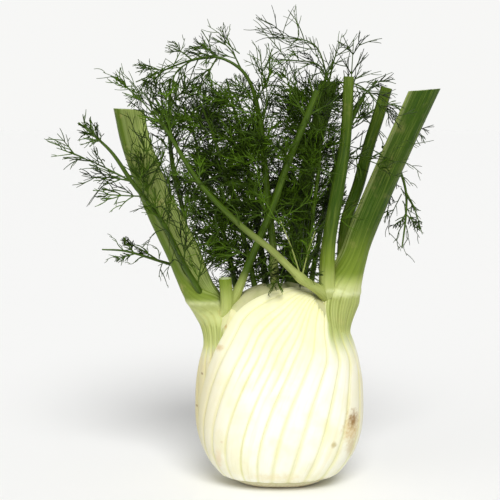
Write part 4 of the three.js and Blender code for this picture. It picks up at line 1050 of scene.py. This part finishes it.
class Paint:
    """A node material, built from small steps. A step's inputs are numbers, colours or other steps' outputs."""

    def __init__(self, name):
        self.material = bpy.data.materials.new(name)
        self.material.use_nodes = True
        self.tree = self.material.node_tree
        self.shader = self.tree.nodes["Principled BSDF"]

    def fill(self, node, inputs):
        for key, value in inputs.items():
            if isinstance(value, bpy.types.NodeSocket):
                self.tree.links.new(value, node.inputs[key])
            else:
                node.inputs[key].default_value = value

    def node(self, kind, output, inputs, **settings):
        node = self.tree.nodes.new("ShaderNode" + kind)
        for key, value in settings.items():
            setattr(node, key, value)
        self.fill(node, inputs)
        return node.outputs[output]

    def field(self, name, output="Fac"):
        return self.node("Attribute", output, {}, attribute_name=name)

    def place(self):
        """Object coordinates in millimetres."""
        return self.scaled(self.node("TexCoord", "Object", {}), (1000, 1000, 1000))

    def scaled(self, vector, by):
        return self.node("VectorMath", 0, {0: vector, 1: by}, operation="MULTIPLY")

    def plus(self, a, b):
        return self.node("Math", 0, {0: a, 1: b}, operation="ADD")

    def times(self, a, b):
        return self.node("Math", 0, {0: a, 1: b}, operation="MULTIPLY")

    def ease(self, value, low, high, to_low=0.0, to_high=1.0):
        """A soft change from to_low, where value is low, to to_high, where it is high."""
        ends = {"Value": value, "From Min": low, "From Max": high, "To Min": to_low, "To Max": to_high}
        return self.node("MapRange", "Result", ends, interpolation_type="SMOOTHSTEP")

    def blend(self, a, b, share):
        """Colour a with a share of b. Plain red, green and blue are screen colours."""
        a, b = (colour(*c) if isinstance(c, tuple) and len(c) == 3 else c for c in (a, b))
        return self.node("Mix", 2, {"Factor": share, 6: a, 7: b}, data_type="RGBA")

    def wash(self, base, tint, value, low, high, most=1.0):
        """base with as much as most of a tint, where value has gone from low to high."""
        return self.blend(base, tint, self.ease(value, low, high, 0.0, most))

    def noise(self, vector, size, detail, rough):
        inputs = {"Vector": vector, "Scale": 1 / size, "Detail": detail, "Roughness": rough}
        return self.node("TexNoise", "Fac", inputs)

    def fibres(self, across, along, detail=3.0, rough=0.6):
        """Noise that is drawn out along the plant's fibres."""
        return self.noise(self.scaled(self.field("grain", "Vector"), (across, along, 1.0)), 1.0, detail, rough)

    def spot(self, place, centre, size, wobble=0.0, edge=0.5):
        """1 inside a ragged spot round centre (mm), fading to 0 at size (its x, y, z half widths)."""
        off = self.node("VectorMath", 0, {0: place, 1: centre}, operation="SUBTRACT")
        off = self.scaled(off, tuple(1 / s for s in size))
        away = self.node("VectorMath", "Value", {0: off}, operation="LENGTH")
        return self.ease(self.plus(away, wobble), edge, 1.0, 1.0, 0.0)

    def relief(self, height, distance, strength=0.5):
        return self.node("Bump", "Normal", {"Height": height, "Distance": distance * MM, "Strength": strength})

    def finish(self, base, rough, normal, gloss, soft=0.12):
        self.fill(self.shader, {"Base Color": base, "Roughness": rough, "Normal": normal,
                                "Specular IOR Level": gloss, "Subsurface Weight": soft,
                                "Subsurface Radius": (1.0, 0.9, 0.45), "Subsurface Scale": 0.0025})
        return self.material


def leaf_skin(name, cream, shaded, deep, spots, tan):
    """White flesh that turns to ribbed green skin, with vein lines, fine fibres, blemishes and cut pith."""
    paint = Paint(name)
    blend, wash, ease, times, place = paint.blend, paint.wash, paint.ease, paint.times, paint.place()
    green, crease, width, inner, run, margin, band, pith = map(
        paint.field, ("green", "crease", "width", "inner", "run", "margin", "band", "pith"))
    fibre, streak = paint.fibres(1.4, 0.05), paint.fibres(0.45, 0.018, 2.0, 0.5)
    cloud, fleck = paint.noise(place, 17.0, 3.0, 0.55), paint.noise(place, 2.4, 3.0, 0.6)
    white = wash(cream, shaded, cloud, 0.42, 0.72, 0.75)
    white = wash(white, (236, 226, 178), streak, 0.5, 0.8, 0.45)
    skin = wash((182, 192, 112), (112, 132, 40), green, 0.3, 0.65)
    skin = wash(skin, deep, green, 0.6, 1.0)
    skin = wash(skin, (132, 150, 60), streak, 0.45, 0.75, 0.35)
    channel = wash((186, 200, 118), (132, 152, 74), streak, 0.38, 0.62)
    channel = wash(channel, (112, 134, 60), fibre, 0.45, 0.3, 0.5)
    base = wash(white, blend(skin, channel, times(inner, 0.86)), green, 0.02, 0.42)
    # vein lines, partly the veins' own colour and partly painted shade in their grooves: olive on the white
    # flesh, dark green between the neck's ribs
    thin = paint.node("Math", 0, {0: crease, 1: paint.plus(times(width, 0.13), 0.4)}, operation="DIVIDE")
    line = times(ease(thin, 0.0, 1.3, 1.0, 0.0), ease(streak, 0.2, 0.7, 1.0, 0.55))
    strength = wash(wash(grey(0.62), grey(0.75), green, 0.1, 0.4), grey(0.28), run, 1.98, 2.08)
    base = blend(base, wash((214, 212, 122), (64, 90, 10), green, 0.2, 0.5), times(line, strength))
    # fine fibres
    lit = times(ease(fibre, 0.55, 0.85, 0.0, 0.22), ease(green, 0.0, 0.6, 1.0, 0.25))
    base = blend(base, (250, 250, 228), lit)
    dull = times(ease(fibre, 0.5, 0.2, 0.0, 0.34), ease(green, 0.0, 0.5, 0.35, 1.0))
    base = blend(base, (150, 160, 80), dull)
    # the pale scar round the foot of the stalk, and pale margins
    base = blend(base, (222, 226, 178), times(band, 0.5))
    base = blend(base, (206, 214, 146), times(margin, 0.22))
    # the flesh is yellower towards the neck, and painted shade darkens it round the left and right sides, where
    # the bulb turns away from the light
    flesh = ease(green, 0.0, 0.3, 1.0, 0.0)
    for centre, size, edge, tint, most in (((4.0, -22.0, 106.0), (60.0, 60.0, 50.0), 0.1, (242, 238, 168), 0.8),
                                           ((-52.0, -6.0, 52.0), (46.0, 60.0, 70.0), 0.0, (206, 194, 140), 0.8),
                                           ((54.0, -2.0, 50.0), (34.0, 60.0, 70.0), 0.0, (206, 194, 140), 0.5)):
        base = blend(base, tint, times(times(paint.spot(place, centre, size, edge=edge), most), flesh))
    # blemishes
    wobble = times(paint.plus(fleck, -0.5), 1.1)
    for centre, size, tint, most in spots:
        base = blend(base, tint, times(paint.spot(place, centre, size, wobble, 0.15), most))
    base = wash(base, (214, 190, 130), paint.noise(place, 9.0, 4.0, 0.6), 0.55, 0.75, tan)
    # cut ends: pale pith with a ring of darker strands
    cut = wash((206, 220, 160), (120, 146, 70), paint.noise(place, 0.9, 1.0, 0.4), 0.56, 0.7, 0.55)
    base = blend(base, cut, pith)
    height = paint.plus(times(fibre, 0.6), times(fleck, 0.35))
    gloss = ease(green, 0.0, 0.6, 0.4, 0.14)
    return paint.finish(base, ease(fleck, 0.2, 0.9, 0.4, 0.58), paint.relief(height, 0.22), gloss)


def heart_skin(name):
    """Pale young leaf bases greyed with painted shade from the fronds above, with olive margins and painted
    shade in the creases between them, on a cut root that is stained brown.
    """
    paint = Paint(name)
    blend, wash, ease, times, place = paint.blend, paint.wash, paint.ease, paint.times, paint.place()
    green, crease, root, cut = map(paint.field, ("green", "crease", "root", "cut"))
    fibre = paint.fibres(1.2, 0.06)
    cloud, fleck = paint.noise(place, 10.0, 3.0, 0.55), paint.noise(place, 1.6, 4.0, 0.65)
    # the dome's greyish green is partly the young flesh's own colour and partly painted shade from the fronds
    # over it
    base = wash((200, 198, 150), (178, 180, 126), cloud, 0.35, 0.7)
    base = wash(base, (148, 158, 88), green, 0.05, 0.7)
    base = wash(base, (206, 208, 156), fibre, 0.45, 0.8, 0.3)
    # olive lines along the sheath margins, darkened with painted shade in the creases where one sheath lies
    # over the next
    base = blend(base, (128, 148, 70), ease(crease, 0.0, 0.9, 0.55, 0.0))
    base = blend(base, (238, 232, 200), root)
    base = blend(base, (196, 164, 108), times(root, times(ease(fleck, 0.42, 0.7), 0.6)))
    base = blend(base, (206, 180, 128), cut)
    beside = paint.spot(place, (-28.0, -12.0, 94.0), (10.0, 14.0, 13.0), edge=0.2)
    base = blend(base, (226, 226, 170), times(beside, 0.8))
    patch = paint.spot(place, (23.0, -28.0, 2.0), (8.0, 9.0, 3.4), times(fleck, 0.5), 0.3)
    base = blend(base, (150, 112, 62), times(patch, 0.8))
    height = paint.plus(times(fibre, 0.5), times(fleck, 0.4))
    return paint.finish(base, ease(fleck, 0.2, 0.9, 0.42, 0.6), paint.relief(height, 0.25), 0.35)


def frond_skin(name):
    """Fronds: stems that are pale at the foot, and threads in many greens."""
    paint = Paint(name)
    blend, wash, place = paint.blend, paint.wash, paint.place()
    green, tone, thick, pith, pithy = map(paint.field, ("green", "tone", "thick", "pith", "pithy"))
    fibre, cloud = paint.fibres(1.6, 0.08), paint.noise(place, 14.0, 2.0, 0.5)
    # threads run from near black to mid green with their tone, which holds painted shade deeper in the mass
    thread = wash(blend((12, 22, 0), (86, 120, 14), tone), (100, 134, 24), cloud, 0.6, 0.85, 0.35)
    stem = wash((168, 178, 100), (58, 82, 8), green, 0.2, 0.9)
    stem = wash(stem, (104, 126, 38), fibre, 0.45, 0.75, 0.5)
    stem = wash(stem, (50, 74, 4), fibre, 0.45, 0.2, 0.55)
    base = blend(blend(thread, stem, thick), (196, 210, 140), paint.times(pith, pithy))
    rough = paint.ease(cloud, 0.3, 0.8, 0.38, 0.55)
    return paint.finish(base, rough, paint.relief(fibre, 0.1, 0.4), 0.22, soft=0.0)


# Blemishes: the middle of each (mm), its half widths, its colour, and how strong it is.
RIGHT_SPOTS = [
    ((39.0, -18.5, 37.0), (7.6, 16, 13), (202, 164, 70), 0.7),
    ((40.2, -18, 41.0), (4.2, 12, 8.0), (132, 88, 0), 0.85),
    ((24.0, -26, 4.4), (11, 14, 3.4), (130, 104, 48), 0.85),
    ((-2.0, -32, 9.5), (26, 14, 4.5), (234, 222, 176), 0.6),
    ((-32.6, -18, 81.0), (3.4, 12, 2.8), (204, 172, 106), 0.7),
    ((39.6, -18, 25.0), (4.6, 12, 8.5), (204, 184, 128), 0.6),
    ((29.8, -28, 28.5), (2.4, 9, 2.6), (186, 168, 104), 0.7),
    ((-31.6, -24, 30.0), (1.5, 9, 1.3), (214, 188, 140), 0.7),
    ((-33.5, -22, 20.0), (3.0, 9, 11), (232, 206, 158), 0.5),
    ((41.0, -17, 18.0), (2.2, 9, 0.7), (110, 124, 66), 0.75),
    ((16.0, -30, 6.0), (9.0, 9, 2.4), (206, 184, 130), 0.5),
    ((31.0, -12.5, 111.2), (7.5, 6, 2.3), (224, 230, 178), 0.6)]
LEFT_SPOTS = [
    ((-31.0, -20, 80.6), (3.2, 9, 2.4), (168, 132, 66), 0.8),
    ((-30.2, -20, 92.4), (1.7, 9, 2.0), (178, 134, 70), 0.8),
    ((-36.5, -20, 74.0), (4.6, 9, 7.5), (190, 172, 112), 0.6),
    ((-42.8, -12, 65.0), (1.1, 9, 1.0), (132, 104, 70), 0.8),
    ((-46.0, -8, 46.0), (1.0, 9, 1.0), (132, 104, 70), 0.8),
    ((-40.0, -12, 101.5), (13.0, 16, 5.0), (146, 154, 84), 0.6)]

# ---------------------------------------------------------------- the pieces
right_skin = leaf_skin("leaf_right_skin", (249, 248, 231), (243, 240, 204), (42, 70, 0), RIGHT_SPOTS, 0.10)
left_skin = leaf_skin("leaf_left_skin", (240, 236, 202), (226, 219, 172), (86, 110, 22), LEFT_SPOTS, 0.35)
heart_paint, frond_paint = heart_skin("inner_bulb_flesh"), frond_skin("frond_green")
for side, leaf, skin in (("right", RIGHT, right_skin), ("left", LEFT, left_skin)):
    shape = leaf_shape(leaf)
    for stalk in SIDE_STALKS[side]:
        side_stalk(shape, *stalk)
    shape.make(f"leaf_{side}_finish", f"leaf_{side}", "leaf", skin)
heart_shape().make("inner_bulb_finish", "inner_bulb", "bulb", heart_paint)

for owner, leaf in enumerate((RIGHT, LEFT)):
    stand(owner, [station[:4] for station in leaf["stations"]], radius=STALK_ROOM)
for knots, *_ in SIDE_STALKS["right"] + SIDE_STALKS["left"]:
    stand(2, knots)
for owner, frond in enumerate(FRONDS.values(), FIRST_FROND):
    stand(owner, frond["stem"], thicker_than=THICK_STEM)
    for limb in frond["limbs"]:
        ROOM.take(owner, limb_stalk(frond, limb), [SPRAY["radius"]] * 3)
for index, (name, frond) in enumerate(FRONDS.items()):
    frond_shape(name, frond, index).make(name + "_finish", name, "frond", frond_paint)

# ---------------------------------------------------------------- floor, light and camera
FLOOR = 6.0  # how far the floor reaches to each side, in metres
floor_mesh = bpy.data.meshes.new("floor")
floor_mesh.from_pydata([(-FLOOR, -FLOOR, 0), (FLOOR, -FLOOR, 0), (FLOOR, FLOOR, 0), (-FLOOR, FLOOR, 0)], [],
                       [(0, 1, 2, 3)])
floor = bpy.data.objects.new("floor", floor_mesh)
bpy.context.collection.objects.link(floor)
floor_paint = Paint("floor_paper")
floor_paint.fill(floor_paint.shader, {"Base Color": (0.9, 0.9, 0.89, 1), "Roughness": 0.9})
floor_mesh.materials.append(floor_paint.material)


def sun(name, source, strength, softness):
    """A sun that shines from a direction. softness is how wide it is, in degrees."""
    data = bpy.data.lights.new(name, "SUN")
    data.energy, data.angle = strength, softness * DEGREE
    made = bpy.data.objects.new(name, data)
    made.rotation_euler = Vector(source).to_track_quat("Z", "Y").to_euler()
    bpy.context.collection.objects.link(made)


sun("key", (0.12, -1.0, 1.0), 2.5, 30)
sun("fill", (-1.0, -0.8, 0.5), 0.45, 60)
sun("rim", (0.1, 1.0, 0.9), 0.4, 60)
# the sky lights evenly, and the camera sees a pale backdrop in its place
world = bpy.data.worlds.new("studio")
world.use_nodes = True
sky = world.node_tree
light, backdrop = sky.nodes["Background"], sky.nodes.new("ShaderNodeBackground")
light.inputs["Color"].default_value, light.inputs["Strength"].default_value = (1, 1, 1, 1), 0.35
backdrop.inputs["Color"].default_value = (0.93, 0.93, 0.918, 1)
choose = sky.nodes.new("ShaderNodeMixShader")
sky.links.new(sky.nodes.new("ShaderNodeLightPath").outputs["Is Camera Ray"], choose.inputs["Fac"])
sky.links.new(light.outputs[0], choose.inputs[1])
sky.links.new(backdrop.outputs[0], choose.inputs[2])
sky.links.new(choose.outputs[0], sky.nodes["World Output"].inputs["Surface"])
bpy.context.scene.world = world
bpy.context.scene.view_settings.view_transform = "Standard"

TARGET = Vector((-16.2, 0, 132.7)) * MM
DISTANCE, VIEW_WIDTH, SENSOR, ELEVATION = 750, 280, 36, 7 * DEGREE  # lengths in millimetres
camera_data = bpy.data.cameras.new("camera")
camera_data.lens, camera_data.sensor_width = SENSOR * DISTANCE / VIEW_WIDTH, SENSOR
camera = bpy.data.objects.new("camera", camera_data)
camera.location = TARGET + DISTANCE * MM * Vector((0, -math.cos(ELEVATION), math.sin(ELEVATION)))
camera.rotation_euler = (TARGET - camera.location).to_track_quat("-Z", "Y").to_euler()
bpy.context.collection.objects.link(camera)
bpy.context.scene.camera = camera
